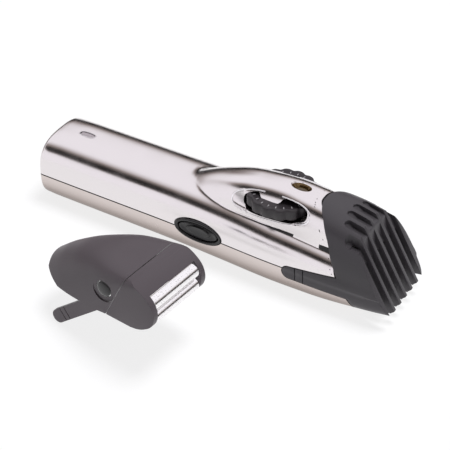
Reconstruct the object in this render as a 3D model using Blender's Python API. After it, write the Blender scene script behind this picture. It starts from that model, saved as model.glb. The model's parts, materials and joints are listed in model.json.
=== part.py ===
"""Cordless beard trimmer with its guide comb and a loose foil shaver head.

A satin nickel handle holds two cells, a motor and a reciprocating blade.  A dial in the raised
pod slides the guide comb, and the foil head lies beside the handle as a second attachment.
Lengths are in millimetres along the handle from its rear end, turned to metres by at().
Run with: blender --background --python part.py
"""

import math

import bmesh
import bpy
from mathutils import Matrix, Vector

MM = 0.001

# ---- driving dimensions -------------------------------------------------------------------
ORIGIN_X = 83.0            # the frame's origin, measured from the rear end
SPLIT_Z = 13.3             # joint between the top and bottom covers
SPLIT_GAP = 0.15           # each cover stops this far from the joint
WALL = 1.8                 # cover wall
BASE_POWER = 2.9           # squareness of the handle's upper half
BLEND = 1.2                # how softly the pod runs into the handle
FLAT = 0.35                # how much of the rounded belly is shaved to a flat foot
END_LENGTH, END_POWER = 4.2, 2.2      # rounding of the rear end
POD_START = 60.0
FRONT_X, FRONT_RAKE = 154.2, 0.7      # raked front edge of the covers: x = FRONT_X - RAKE * z
GAP = 0.3                  # clearance between neighbouring pieces

CELL_RADIUS, CELL_LENGTH, CELL_X, CELL_Y, CELL_Z = 6.8, 49.0, 12.0, 7.05, 12.6
MOTOR_Z, MOTOR_RADIUS, MOTOR_FLAT = 13.5, 10.0, 7.6
CRANK_THROW, CRANK_PIN = 0.8, 0.8

DIAL_X, DIAL_RADIUS, DIAL_BOTTOM, DIAL_TOP, DIAL_LOBES = 110.3, 14.6, 31.2, 35.8, 16
PINION_TEETH, PINION_PITCH_R = 16, 5.0
RACK_PITCH = 2 * math.pi * PINION_PITCH_R / PINION_TEETH

BUTTON_X, BUTTON_Z = 81.3, 14.5
ARM_BACK, ARM_BOTTOM, ARM_TOP, ARM_INNER = 120.3, 9.1, 14.9, 15.2

CUT_X, CUT_Z, CUT_TURN = 154.3, 25.5, math.radians(60.46)   # frame of the comb's front face
COMB_PITCH, COMB_TEETH, TOOTH = 5.0, 7, 1.54
FACE_LENGTH = 23.0         # front face of the comb, from the web's end to the tips
ROOM_HALF = 13.9           # half width of the room inside the comb

HEAD_WIDTH = 30.0
HEAD_X, HEAD_Y = 57.6, -61.7
HEAD_YAW, HEAD_PITCH = math.radians(-6.5), math.radians(40.7)
LEG_RADIUS, LEG_TIP_X, LEG_Z = 2.8, 0.8, 2.3


def at(x, y, z):
    """A point in metres from millimetres along, across and up."""
    return Vector(((x - ORIGIN_X) * MM, y * MM, z * MM))


def curve_through(*knots):
    """A smooth curve through (x, value) knots that never overshoots them."""
    xs = [x for x, _ in knots]
    ys = [y for _, y in knots]
    steps = [b - a for a, b in zip(xs, xs[1:])]
    slopes = [(b - a) / h for a, b, h in zip(ys, ys[1:], steps)]
    tangents = [slopes[0]]
    for before, after in zip(slopes, slopes[1:]):
        turning = before * after <= 0
        tangents.append(0.0 if turning else 2 * before * after / (before + after))
    tangents.append(slopes[-1])

    def value(x):
        x = min(max(x, xs[0]), xs[-1])
        i = max(k for k in range(len(steps)) if k == 0 or x > xs[k])
        t = (x - xs[i]) / steps[i]
        start = ys[i] * (1 + 2 * t) * (1 - t) ** 2 + steps[i] * tangents[i] * t * (1 - t) ** 2
        end = ys[i + 1] * t * t * (3 - 2 * t) + steps[i] * tangents[i + 1] * t * t * (t - 1)
        return start + end

    return value


half_width = curve_through((0, 16.3), (20, 16.4), (60, 16.5), (90, 17.2), (115, 18.0),
                           (135, 17.9), (155, 17.0), (168, 15.6))
base_top = curve_through((0, 27.8), (15, 28.5), (65, 28.6), (85, 26.4), (105, 23.4),
                         (125, 21.0), (168, 18.0))
belly = curve_through((0, 0.8), (10, 0.0), (112, 0.0), (130, 0.4), (155, 2.8), (168, 4.2))
pod_half = curve_through((62, 3.0), (70, 9.0), (80, 13.4), (92, 15.6), (112, 16.8),
                         (130, 17.0), (155, 17.0), (168, 15.6))
pod_top = curve_through((62, 22.0), (70, 28.8), (84, 35.0), (100, 39.0), (116, 40.4),
                        (126, 39.6), (140, 37.9), (152, 35.0), (168, 28.0))
pod_power = curve_through((62, 2.1), (100, 2.2), (120, 2.4), (140, 3.0), (155, 3.1))
low_power = curve_through((0, 3.0), (70, 3.2), (110, 3.6), (155, 3.8))


def super_radius(c, s, across, up, power):
    return ((abs(c) / across) ** power + (abs(s) / up) ** power) ** (-1.0 / power)


def skin_radius(x, angle):
    """Distance of the outer skin from the handle's spine at one angle."""
    c, s = math.cos(angle), math.sin(angle)
    if s < 0:
        return super_radius(c, s, half_width(x), SPLIT_Z - belly(x) + FLAT, low_power(x))
    base = super_radius(c, s, half_width(x), base_top(x) - SPLIT_Z, BASE_POWER)
    if x <= POD_START:
        return base
    pod = super_radius(c, s, pod_half(x), pod_top(x) - SPLIT_Z, pod_power(x))
    return 0.5 * (base + pod + math.sqrt((base - pod) ** 2 + BLEND ** 2))


def skin(x, angle, inset=0.0):
    """A point of the skin, or of a surface inset from it, with the rounded rear end."""
    reach = END_LENGTH - 0.4 * inset
    t = min(max((x - inset) / reach, 0.0), 1.0)
    dome = (1 - (1 - t) ** END_POWER) ** (1 / END_POWER)
    r = (skin_radius(x, angle) - inset) * dome
    z = SPLIT_Z + r * math.sin(angle)
    return x, r * math.cos(angle), max(z, belly(x) + inset)


def front_x(angle, inset):
    """Where the skin meets the raked front edge."""
    x = FRONT_X - FRONT_RAKE * SPLIT_Z
    for _ in range(12):
        x = FRONT_X - FRONT_RAKE * skin(x, angle, inset)[2]
    return x


# ---- scene, materials and modelling helpers -------------------------------------------------
for old in list(bpy.data.objects):
    bpy.data.objects.remove(old, do_unlink=True)


def collection(name):
    made = bpy.data.collections.new(name)
    bpy.context.scene.collection.children.link(made)
    return made


PARTS = collection("beard_trimmer")
CUTTERS = collection("cutters")


def material(name, red, green, blue, roughness, metallic=0.0):
    made = bpy.data.materials.new(name)
    made.use_nodes = True
    shader = made.node_tree.nodes["Principled BSDF"]
    shader.inputs["Base Color"].default_value = (red, green, blue, 1.0)
    shader.inputs["Roughness"].default_value = roughness
    shader.inputs["Metallic"].default_value = metallic
    made.diffuse_color = (red, green, blue, 1.0)
    return made


NICKEL = material("satin_nickel", 0.62, 0.58, 0.57, 0.28, 1.0)
BLACK = material("black_abs", 0.018, 0.018, 0.020, 0.45)
GREY = material("charcoal_abs", 0.05, 0.047, 0.052, 0.45)
STEEL = material("stainless_steel", 0.66, 0.66, 0.66, 0.25, 1.0)
BRASS = material("nickel_silver", 0.60, 0.52, 0.34, 0.35, 1.0)
BOARD = material("green_fibreglass", 0.02, 0.12, 0.05, 0.5)
CELL = material("green_cell_wrap", 0.04, 0.22, 0.10, 0.4)
CLEAR = material("smoked_acrylic", 0.10, 0.10, 0.11, 0.1)
GREEN_LIGHT = material("green_epoxy", 0.05, 0.45, 0.10, 0.2)
WHITE = material("white_acetal", 0.75, 0.74, 0.70, 0.5)


def add(name, mesh, finish, group=None):
    """A named object from a mesh; without a finish it is a hidden cutter."""
    obj = bpy.data.objects.new(name, mesh)
    if finish is None:
        CUTTERS.objects.link(obj)
        obj.hide_render = True
        obj.display_type = 'WIRE'
    else:
        PARTS.objects.link(obj)
        mesh.materials.append(finish)
    if group is not None:
        obj.parent = group
    return obj


def finished(name, bm, finish, group=None, smooth=None):
    bmesh.ops.recalc_face_normals(bm, faces=bm.faces)
    mesh = bpy.data.meshes.new(name)
    bm.to_mesh(mesh)
    bm.free()
    if smooth is not None:
        mesh.shade_smooth()
        mesh.set_sharp_from_angle(angle=math.radians(smooth))
    return add(name, mesh, finish, group)


def origin_to(obj, point):
    """Put an object's origin on its joint's axis without moving its shape."""
    obj.data.transform(Matrix.Translation(-point))
    obj.location = point
    return obj


def boolean(target, tool, operation='DIFFERENCE'):
    step = target.modifiers.new(operation.lower(), 'BOOLEAN')
    step.operation = operation
    step.solver = 'EXACT'
    step.object = tool
    return target


def ring_loft(name, rings, finish, group=None, place=at):
    """A closed solid through rings of points that have the same count."""
    bm = bmesh.new()
    rows = [[bm.verts.new(place(*p)) for p in ring] for ring in rings]
    count = len(rows[0])
    for a, b in zip(rows, rows[1:]):
        for j in range(count):
            k = (j + 1) % count
            bm.faces.new((a[j], a[k], b[k], b[j]))
    bm.faces.new(rows[0])
    bm.faces.new(rows[-1])
    return finished(name, bm, finish, group, smooth=40)


def half_shell(name, outer, inner, finish):
    """A cover: an open outer loft and its inner wall, joined along every edge."""
    bm = bmesh.new()
    out = [[bm.verts.new(at(*p)) for p in ring] for ring in outer]
    inn = [[bm.verts.new(at(*p)) for p in ring] for ring in inner]
    last = len(out[0]) - 1
    for rows in (out, inn):
        for a, b in zip(rows, rows[1:]):
            for j in range(last):
                bm.faces.new((a[j], a[j + 1], b[j + 1], b[j]))
        bm.faces.new(rows[0])
    for j in (0, last):
        for i in range(len(out) - 1):
            bm.faces.new((out[i][j], out[i + 1][j], inn[i + 1][j], inn[i][j]))
    for j in range(last):
        bm.faces.new((out[-1][j], out[-1][j + 1], inn[-1][j + 1], inn[-1][j]))
    bm.faces.new((out[0][0], out[0][last], inn[0][last], inn[0][0]))
    return finished(name, bm, finish, smooth=40)


def box(name, x, y, z, finish, group=None, bevel=0.0, place=at):
    """A block from three (low, high) pairs."""
    bm = bmesh.new()
    bmesh.ops.create_cube(bm, size=1.0)
    low, high = place(x[0], y[0], z[0]), place(x[1], y[1], z[1])
    size, middle = high - low, (low + high) / 2
    bmesh.ops.scale(bm, vec=size, verts=bm.verts)
    bmesh.ops.translate(bm, vec=middle, verts=bm.verts)
    if bevel:
        bmesh.ops.bevel(bm, geom=bm.edges, offset=bevel * MM, segments=2, affect='EDGES',
                        profile=0.5)
    return finished(name, bm, finish, group, smooth=30)


AXIS_TURN = {'X': Matrix.Rotation(math.radians(90), 4, 'Y'),
             'Y': Matrix.Rotation(math.radians(-90), 4, 'X'),
             'Z': Matrix.Identity(4)}


def rod(name, axis, start, length, radius, finish, group=None, sides=32, tip=None, place=at):
    """A cylinder, or a cone with a tip radius, from its start point along an axis."""
    bm = bmesh.new()
    bmesh.ops.create_cone(bm, cap_ends=True, segments=sides, radius1=radius * MM,
                          radius2=(radius if tip is None else tip) * MM, depth=length * MM)
    bmesh.ops.translate(bm, vec=(0, 0, length * MM / 2), verts=bm.verts)
    bmesh.ops.transform(bm, matrix=AXIS_TURN[axis], verts=bm.verts)
    bmesh.ops.translate(bm, vec=place(*start), verts=bm.verts)
    return finished(name, bm, finish, group, smooth=40)


def draw_out(bm, outline, y, place):
    """Add an outline of (x, z) points, drawn out between two y values."""
    face = bm.faces.new([bm.verts.new(place(px, y[0], pz)) for px, pz in outline])
    drawn = bmesh.ops.extrude_face_region(bm, geom=[face])
    moved = [v for v in drawn["geom"] if isinstance(v, bmesh.types.BMVert)]
    bmesh.ops.translate(bm, vec=(0, (y[1] - y[0]) * MM, 0), verts=moved)


def side_prism(name, outline, y, finish, group=None, place=at):
    """A solid from a side view of (x, z) points between two y values."""
    bm = bmesh.new()
    draw_out(bm, outline, y, place)
    return finished(name, bm, finish, group, smooth=30)


def plan_prism(name, outline, z, finish, group=None, place=at):
    """An outline of (x, y) points raised between two z values."""
    bm = bmesh.new()
    face = bm.faces.new([bm.verts.new(place(px, py, z[0])) for px, py in outline])
    drawn = bmesh.ops.extrude_face_region(bm, geom=[face])
    moved = [v for v in drawn["geom"] if isinstance(v, bmesh.types.BMVert)]
    bmesh.ops.translate(bm, vec=(0, 0, (z[1] - z[0]) * MM), verts=moved)
    return finished(name, bm, finish, group, smooth=30)


def oval(cx, cz, a, b, sides=28, power=2.0):
    """Points of an ellipse, or of a squarer oval with a higher power."""
    points = []
    for i in range(sides):
        c, s = math.cos(2 * math.pi * i / sides), math.sin(2 * math.pi * i / sides)
        points.append((cx + a * math.copysign(abs(c) ** (2 / power), c),
                       cz + b * math.copysign(abs(s) ** (2 / power), s)))
    return points


def local(x, y, z):
    """Millimetres to metres inside a group that has its own origin."""
    return Vector((x, y, z)) * MM


def group_frame(name, place, rotation):
    frame = bpy.data.objects.new(name, None)
    frame.empty_display_size = 0.01
    frame.location = place
    frame.rotation_euler = rotation
    PARTS.objects.link(frame)
    return frame


# ---- covers -----------------------------------------------------------------------------------
REAR_STATIONS = (0.05, 0.35, 1.0, 2.0, 3.1, END_LENGTH)
BODY_STATIONS = (12, 34, 56, 62, 66, 70, 75, 81, 88, 95)
FRONT_START, FRONT_STEPS = 102.0, 7


def cover_rings(angles, inset, lift):
    """Rings along a cover, which lean over to the raked front edge."""
    rings = []
    for x in REAR_STATIONS + BODY_STATIONS:
        x = inset + x * (END_LENGTH - inset) / END_LENGTH if x <= END_LENGTH else x
        rings.append([skin(x, a, inset) for a in angles])
    for i in range(FRONT_STEPS + 1):
        ring = []
        for a in angles:
            x = FRONT_START + (front_x(a, inset) - FRONT_START) * i / FRONT_STEPS
            ring.append(skin(x, a, inset))
        rings.append(ring)
    return [[(x, y, max(z, SPLIT_Z + SPLIT_GAP) if lift > 0 else min(z, SPLIT_Z - SPLIT_GAP))
             for x, y, z in ring] for ring in rings]


def sweep_angles(first, last, count):
    return [math.radians(first + (last - first) * i / count) for i in range(count + 1)]


def arm_slot(side):
    """Room for a comb arm in the covers' side, longer at the back than the arm."""
    low, high = ARM_BOTTOM - GAP, ARM_TOP + GAP
    middle, r = (low + high) / 2, (high - low) / 2
    back = ARM_BACK - GAP + r
    outline = [(162, low - 1.6), (162, high + 0.125 * (162 - back))]
    for i in range(9):
        a = math.radians(90 + 180 * i / 8)
        outline.append((back + r * math.cos(a), middle + r * math.sin(a)))
    across = sorted((side * (ARM_INNER - GAP), side * 24))
    return side_prism("cut_arm_slot_%s" % ("right" if side < 0 else "left"), outline, across, None)


ARM_SLOTS = [arm_slot(side) for side in (-1, 1)]
BUTTON_HOLE = side_prism("cut_button_hole", oval(BUTTON_X, BUTTON_Z, 11.3, 5.4), (-24, -14), None)
SCREWS = ((66.0, 0.0), (126.0, 10.0), (126.0, -10.0))


def top_cover():
    angles = sweep_angles(0, 180, 22)
    cover = half_shell("top_cover", cover_rings(angles, 0, 1), cover_rings(angles, WALL, 1),
                       NICKEL)
    boolean(cover, rod("boss_top", 'Z', (SCREWS[0][0], 0, 3.4), 24.4, 3.0, None, sides=20),
            'UNION')
    boolean(cover, rod("cut_boss_bore", 'Z', (SCREWS[0][0], 0, 0), 14, 1.3, None, sides=16))
    boolean(cover, plan_prism("cut_light_slot", oval(17, 0, 3.7, 1.5, 20, 2.6), (24, 34), None))
    boolean(cover, plan_prism("cut_setting_slot", oval(118.4, 0, 3.0, 1.7, 20), (34, 46), None))
    flare = plan_prism("cut_setting_flare", oval(118.4, 0, 4.6, 2.6, 24), (39.6, 46), None)
    boolean(cover, flare)
    for side in (-1, 1):
        outline = oval(110.2, 33.8, 16.6, 3.9, 32, 2.6)
        across = sorted((side * 3.4, side * 24))
        slot = side_prism("cut_dial_slot_%d" % side, outline, across, None)
        boolean(cover, slot)
    for tool in ARM_SLOTS + [BUTTON_HOLE]:
        boolean(cover, tool)
    return cover


def bottom_cover():
    angles = sweep_angles(180, 360, 18)
    cover = half_shell("bottom_cover", cover_rings(angles, 0, -1), cover_rings(angles, WALL, -1),
                       NICKEL)
    inlet = box("cut_inlet", (-2, 4), (-4.1, 4.1), (5.0, 10.0), None)
    boolean(cover, inlet)
    for i, (x, y) in enumerate(SCREWS, 1):
        seat = belly(x) + 1.25
        boolean(cover, rod("cut_screw_head_%d" % i, 'Z', (x, y, -1), seat + 1, 2.7, None, sides=22))
        boolean(cover, rod("cut_screw_hole_%d" % i, 'Z', (x, y, -2), 8, 1.35, None, sides=14))
    for tool in ARM_SLOTS + [BUTTON_HOLE]:
        boolean(cover, tool)
    return cover


def housing_screws():
    for i, (x, y) in enumerate(SCREWS, 1):
        low = belly(x) + 0.15
        head = rod("housing_screw_%d" % i, 'Z', (x, y, low), 0.8, 2.3, STEEL, sides=20)
        shank = rod("shank_%d" % i, 'Z', (x, y, low + 0.4), 10.0, 1.0, None, sides=12)
        boolean(head, shank, 'UNION')


# ---- light, setting window, button ----------------------------------------------------------
def status_light():
    plan_prism("light_window", oval(17, 0, 3.35, 1.2, 20, 2.6), (25.3, 28.35), CLEAR)
    rod("status_light", 'Z', (17, 0, 22.7), 2.2, 1.0, GREEN_LIGHT, sides=16)


def setting_window():
    plan_prism("setting_window", oval(118.4, 0, 2.6, 1.35, 20), (38.2, 39.3), CLEAR)


def power_switch():
    bezel = side_prism("button_bezel", oval(BUTTON_X, BUTTON_Z, 11.0, 5.1, 36), (-17.4, -14.4),
                       BLACK)
    boolean(bezel, side_prism("cut_bezel", oval(BUTTON_X, BUTTON_Z, 9.3, 3.8, 36), (-19, -12),
                              None))
    button = side_prism("power_button", oval(BUTTON_X, BUTTON_Z, 9.0, 3.5, 36), (-17.2, -14.6),
                        BLACK)
    raised = side_prism("raised_oval", oval(BUTTON_X, BUTTON_Z, 5.6, 2.2, 28), (-17.7, -16), None)
    boolean(button, raised, 'UNION')
    stem = rod("button_stem", 'Y', (BUTTON_X, -15.0, BUTTON_Z), 3.4, 1.3, None, sides=16)
    boolean(button, stem, 'UNION')
    origin_to(button, at(BUTTON_X, -16, BUTTON_Z))
    box("micro_switch", (75.5, 87.0), (-10.5, -5.0), (11.0, 17.6), BLACK, bevel=0.4)
    coil_spring("button_spring", BUTTON_X, BUTTON_Z, -14.2, -10.9, radius=2.1, turns=3)


def coil_spring(name, x, z, y_front, y_back, radius, turns):
    """A round wire wound between two y values."""
    data = bpy.data.curves.new(name, 'CURVE')
    data.dimensions = '3D'
    data.bevel_depth = 0.22 * MM
    data.bevel_resolution = 1
    data.use_fill_caps = True
    steps = turns * 12
    wire = data.splines.new('POLY')
    wire.points.add(steps)
    for i, point in enumerate(wire.points):
        t = i / steps
        a = 2 * math.pi * turns * t
        y = y_front + 0.3 + (y_back - y_front - 0.6) * t
        point.co = (*at(x + radius * math.cos(a), y, z + radius * math.sin(a)), 1)
    data.materials.append(STEEL)
    spring = bpy.data.objects.new(name, data)
    PARTS.objects.link(spring)
    return spring


# ---- electrics -------------------------------------------------------------------------------
def battery():
    for number, side in ((1, -1), (2, 1)):
        y = side * CELL_Y
        cell = rod("battery_cell_%d" % number, 'X', (CELL_X, y, CELL_Z), CELL_LENGTH,
                   CELL_RADIUS, CELL)
        nub_x = CELL_X + CELL_LENGTH - 0.2 if side > 0 else CELL_X - 1.0
        nub = rod("cell_nub_%d" % number, 'X', (nub_x, y, CELL_Z), 1.2, 2.6, None, sides=20)
        boolean(cell, nub, 'UNION')
        tab_x = CELL_X + CELL_LENGTH + (1.4 if side > 0 else 0.4)
        box("battery_tab_%d" % number, (tab_x, tab_x + 0.5), (y - 2.5, y + 2.5),
            (CELL_Z - 3, CELL_Z + 5), BRASS)
    box("battery_link", (10.2, 10.6), (-9.5, 9.5), (11.0, CELL_Z + 2.5), BRASS)


def charging_socket():
    socket = box("charging_socket", (4.0, 9.8), (-4.8, 4.8), (4.7, 10.5), BLACK)
    boolean(socket, box("socket_collar", (0.9, 4.5), (-3.8, 3.8), (5.3, 9.7), None), 'UNION')
    boolean(socket, box("cut_socket_cavity", (-1, 8.4), (-2.9, 2.9), (6.1, 8.9), None))
    for name, y in (("charging_pin_right", -1.4), ("charging_pin_left", 1.4)):
        rod(name, 'X', (2.6, y, 7.5), 5.5, 0.55, BRASS, sides=12)


def circuit_board():
    box("circuit_board", (8.0, 60.5), (-10.0, 10.0), (20.9, 22.3), BOARD)


# ---- motor and blade ----------------------------------------------------------------------
def motor():
    can = rod("motor", 'X', (88.0, 0, MOTOR_Z), 25.0, MOTOR_RADIUS, STEEL, sides=40)
    flats = box("motor_flats", (86, 116), (-12, 12), (MOTOR_Z - MOTOR_FLAT, MOTOR_Z + MOTOR_FLAT),
                None)
    boolean(can, flats, 'INTERSECT')
    shaft = rod("motor_shaft", 'X', (113.3, 0, MOTOR_Z), 5.6, 1.0, STEEL, sides=16)
    cam = rod("eccentric_cam", 'X', (116.0, 0, MOTOR_Z), 5.0, 4.2, WHITE, sides=28)
    boolean(cam, rod("cut_cam_bore", 'X', (114, 0, MOTOR_Z), 5.2, 1.3, None, sides=16))
    pin = rod("crank_pin", 'X', (120, 0, MOTOR_Z + CRANK_THROW), 6.4, CRANK_PIN, None, sides=14)
    boolean(cam, pin, 'UNION')
    for piece in (shaft, cam):
        origin_to(piece, at(116, 0, MOTOR_Z))


CUTTING = group_frame("cutting_frame", at(CUT_X, 0, CUT_Z), (0, CUT_TURN, 0))


def blade_outline(half, root, shoulder, tip, teeth):
    """Plan of a toothed blade in the cutting frame, teeth pointing along +X."""
    pitch = 2 * half / teeth
    points = [(root, -half), (shoulder, -half)]
    for i in range(teeth):
        y = -half + pitch * i
        points += [(shoulder, y + 0.14 * pitch), (tip, y + 0.30 * pitch),
                   (tip, y + 0.70 * pitch), (shoulder, y + 0.86 * pitch)]
    points += [(shoulder, half), (root, half)]
    return points


def blades():
    fixed = plan_prism("fixed_blade", blade_outline(13.0, 1.5, 17.6, 20.6, 13), (-4.6, -3.6),
                       STEEL, CUTTING, local)
    plan_prism("moving_blade", blade_outline(11.0, 7.2, 16.9, 19.6, 11), (-5.7, -4.9),
               STEEL, CUTTING, local)
    plan_prism("blade_spring", [(8.0, -9.5), (10.5, -9.5), (10.5, -5.6), (13.5, -5.6),
                                (13.5, -9.0), (15.0, -9.0), (15.0, -4.8), (8.0, -4.8)],
               (-6.5, -6.1), STEEL, CUTTING, local)
    for name, y in (("blade_screw_right", -9.0), ("blade_screw_left", 9.0)):
        side = name.rsplit("_", 1)[1]
        boolean(fixed, rod("cut_blade_hole_" + side, 'Z', (4.0, y, -6), 4, 2.3, None, CUTTING, 20,
                           place=local))
        screw = rod(name, 'Z', (4.0, y, -4.4), 0.9, 2.0, STEEL, CUTTING, 20, place=local)
        boolean(screw, rod("blade_shank_" + side, 'Z', (4.0, y, -9.4), 5.3, 0.9, None, CUTTING,
                           12, place=local), 'UNION')


def cut_point(along, out):
    """Side-view (x, z) of a point in the cutting frame."""
    c, s = math.cos(CUT_TURN), math.sin(CUT_TURN)
    return CUT_X + along * c + out * s, CUT_Z - along * s + out * c


def drive_fork():
    bar = box("drive_fork", (128.2, 151.0), (-1.7, 1.7), (12.4, 14.6), WHITE)
    boolean(bar, box("fork_yoke", (122.4, 128.6), (-4.0, 4.0), (11.2, 16.0), None), 'UNION')
    boolean(bar, box("cut_fork_slot", (120, 127.2), (-2.6, 2.6), (9, 18), None))
    trim = side_prism("cut_fork_end", [cut_point(6, -6.0), cut_point(18, -6.0), (162, 8),
                                       (162, 20)], (-5, 5), None)
    boolean(bar, trim)


def head_nose():
    """The black block that carries the blades and closes the front of the handle."""
    outline = [(133.0, 9.2), (133.0, 26.0), (146.6, 26.0), cut_point(-1, -4.9),
               cut_point(6.6, -4.9), cut_point(6.6, -6.9), cut_point(16.5, -6.9),
               (152.5, 6.4), (143.4, 6.4), (143.4, 9.2)]
    nose = side_prism("head_nose", outline, (-13.1, 13.1), BLACK)
    round_off = ring_loft("round_nose", [[skin(x, a, 4.4) for a in sweep_angles(0, 352.5, 47)]
                                         for x in (125, 135, 145, 155, 165)], None)
    boolean(nose, round_off, 'INTERSECT')
    boolean(nose, box("cut_fork_tunnel", (120, 165), (-5.2, 5.2), (10.0, 17.4), None))
    for side in (-1, 1):
        hole = rod("cut_nose_screw_%d" % side, 'Z', (4.0, side * 9.0, -10), 8, 1.2, None, CUTTING,
                   16, place=local)
        boolean(nose, hole)
    return nose


def inner_frame():
    """A tub behind the comb's arms that ties the nose and the lower screws together."""
    outer = [(-14.8, 15.8), (-14.8, 8.0), (-12.0, 4.6)]
    inner = [(-13.6, 15.8), (-13.6, 8.5), (-11.4, 5.9)]
    section = outer + [(-y, z) for y, z in reversed(outer)]
    section += [(-y, z) for y, z in inner] + list(reversed(inner))
    tub = ring_loft("inner_frame", [[(x, y, z) for y, z in section] for x in (116.0, 143.0)],
                    BLACK)
    for i, (x, y) in enumerate(SCREWS[1:], 2):
        post = rod("frame_post_%d" % i, 'Z', (x, y, 3.2), 7.8, 2.5, None, sides=20)
        boolean(tub, post, 'UNION')
        boolean(tub, rod("cut_post_%d" % i, 'Z', (x, y, 0), 13, 1.3, None, sides=16))
    return tub


# ---- dial, rack and comb --------------------------------------------------------------------
def length_dial():
    outline = []
    for i in range(96):
        a = 2 * math.pi * i / 96
        r = DIAL_RADIUS - 0.35 * (1 - math.cos(DIAL_LOBES * a))
        outline.append((DIAL_X + r * math.cos(a), r * math.sin(a)))
    dial = plan_prism("length_dial", outline, (DIAL_BOTTOM, DIAL_TOP), BLACK)
    boolean(dial, plan_prism("pinion", pinion_outline(), (27.0, DIAL_BOTTOM + 0.5), None),
            'UNION')
    boolean(dial, rod("cut_dial_bore", 'Z', (DIAL_X, 0, 20), 30, 1.75, None, sides=20))
    origin_to(dial, at(DIAL_X, 0, DIAL_BOTTOM))
    axle = rod("dial_axle", 'Z', (DIAL_X, 0, 26.3), 11.6, 1.5, STEEL, sides=20)
    boolean(axle, rod("axle_flange", 'Z', (DIAL_X, 0, 26.3), 0.4, 3.2, None, sides=24), 'UNION')
    deck = box("dial_bridge", (99.0, 121.5), (-12.4, 12.4), (24.4, 26.0), BLACK)
    for side in (-1, 1):
        leg = box("bridge_leg_%d" % side, (114.2, 118.0), sorted((side * 10.9, side * 12.3)),
                  (7.0, 25.0), None)
        boolean(deck, leg, 'UNION')


def pinion_outline():
    """Gear with small tapered teeth, one of them centred on the rack side."""
    points = []
    step = 2 * math.pi / PINION_TEETH
    for i in range(PINION_TEETH):
        for share, r in ((-0.5, -0.65), (-0.27, -0.65), (-0.12, 0.5), (0.12, 0.5), (0.27, -0.65)):
            a = math.pi / 2 + (i + share) * step
            points.append((DIAL_X + (PINION_PITCH_R + r) * math.cos(a),
                           (PINION_PITCH_R + r) * math.sin(a)))
    return points


def comb_carriage():
    """The slide with the rack, which carries the guide comb."""
    half = RACK_PITCH / 2
    first, teeth = DIAL_X - 8 * RACK_PITCH, 10
    points = [(first - half, 9.4), (first - half, PINION_PITCH_R + 0.75)]
    for i in range(teeth):
        x = first + i * RACK_PITCH
        points += [(x + 0.29 * half, PINION_PITCH_R + 0.75), (x + 0.74 * half, PINION_PITCH_R - 0.35),
                   (x + 1.26 * half, PINION_PITCH_R - 0.35), (x + 1.71 * half, PINION_PITCH_R + 0.75)]
    points += [(122.0, PINION_PITCH_R + 0.75), (122.0, -8.0), (147.6, -8.0), (147.6, 9.4)]
    slide = plan_prism("comb_carriage", points, (27.2, 29.8), WHITE)
    boolean(slide, box("carriage_hook", (144.6, 147.6), (-6, 6), (29, 31.0), None), 'UNION')
    boolean(slide, box("cut_carriage_window", (125.5, 141.5), (-4.5, 5.5), (25, 33), None))


def comb_outline():
    """Side view of the guide comb with its arms: roof, front face, skirt and arm."""
    tip = cut_point(FACE_LENGTH, 0)
    outline = [(146.0, 43.0), cut_point(-12.0, 0), tip,
               cut_point(FACE_LENGTH + 0.4, -1.6), (163.6, 2.6), (158.4, 1.7), (154.4, 1.9)]
    lean = FRONT_RAKE
    outline += [(FRONT_X + GAP - lean * 3.2, 3.2), (FRONT_X + GAP - lean * 10.3, 10.3),
                (127.9, ARM_BOTTOM)]
    middle, r = (ARM_BOTTOM + ARM_TOP) / 2, (ARM_TOP - ARM_BOTTOM) / 2
    for i in range(1, 8):
        a = math.radians(270 - 180 * i / 8)
        outline.append((ARM_BACK + r + r * math.cos(a), middle + r * math.sin(a)))
    outline += [(ARM_BACK + r, ARM_TOP), (FRONT_X + GAP - lean * 17.2, 17.2),
                (FRONT_X + GAP - lean * 43.0, 43.0)]
    return outline


def comb_rings(roof_wall):
    """Arched sections of the comb; with a wall they bound the room inside, open below."""
    rings = []
    for x in (112, 118, 124, 130, 135, 140, 147, 153, 158, 163, 169):
        ring = []
        for a in sweep_angles(0, 180, 24):
            px, y, z = skin(x, a)
            scale = 1 - roof_wall / math.hypot(y, z - SPLIT_Z)
            side = ROOM_HALF if roof_wall else half_width(x) + WALL
            ring.append((px, max(-side, min(side, y * scale)), SPLIT_Z + (z - SPLIT_Z) * scale))
        if roof_wall:
            ring += [(x, ring[-1][1], -12.0), (x, ring[0][1], -12.0)]
        else:
            ring += [skin(x, a) for a in sweep_angles(186, 354, 14)]
        rings.append(ring)
    return rings


def guide_comb():
    comb = ring_loft("guide_comb", comb_rings(0.0), GREY)
    boolean(comb, side_prism("comb_side_view", comb_outline(), (-22, 22), None), 'INTERSECT')
    room = ring_loft("cut_comb_room", comb_rings(3.4), None)
    inside = [(100, 45), (146, 45), cut_point(-12, -3.1), cut_point(FACE_LENGTH + 12, -3.1),
              (150, -9), (100, -9)]
    boolean(room, side_prism("room_side_view", inside, (-20, 20), None), 'INTERSECT')
    boolean(comb, room)
    boolean(comb, box("cut_arm_room", (100, 147.3), (-ARM_INNER, ARM_INNER), (-5, 16.3), None))
    gap = COMB_PITCH - TOOTH
    bm = bmesh.new()
    for i in range(COMB_TEETH - 1):
        y = (i - (COMB_TEETH - 2) / 2) * COMB_PITCH
        draw_out(bm, comb_gap(y), (y - gap / 2, y + gap / 2), at)
    boolean(comb, finished("cut_comb_gaps", bm, None))
    return comb


def comb_gap(y):
    """Side view of the groove between two teeth: shallow over the roof, open down the face."""
    start = 139.4 + 0.03 * y * y
    line = abs(y) + 1.2
    groove = [(start, 60.0), (start, roof_height(start, line) - 1.0)]
    for x in (143.0, 146.5, 150.0):
        if x > start + 1:
            groove.append((x, roof_height(x, line) - 1.9))
    return groove + [cut_point(-3.0, -1.9), cut_point(0.0, -1.9), cut_point(0.0, -9.0),
                     cut_point(44.0, -9.0), cut_point(44.0, 44.0)]


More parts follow.
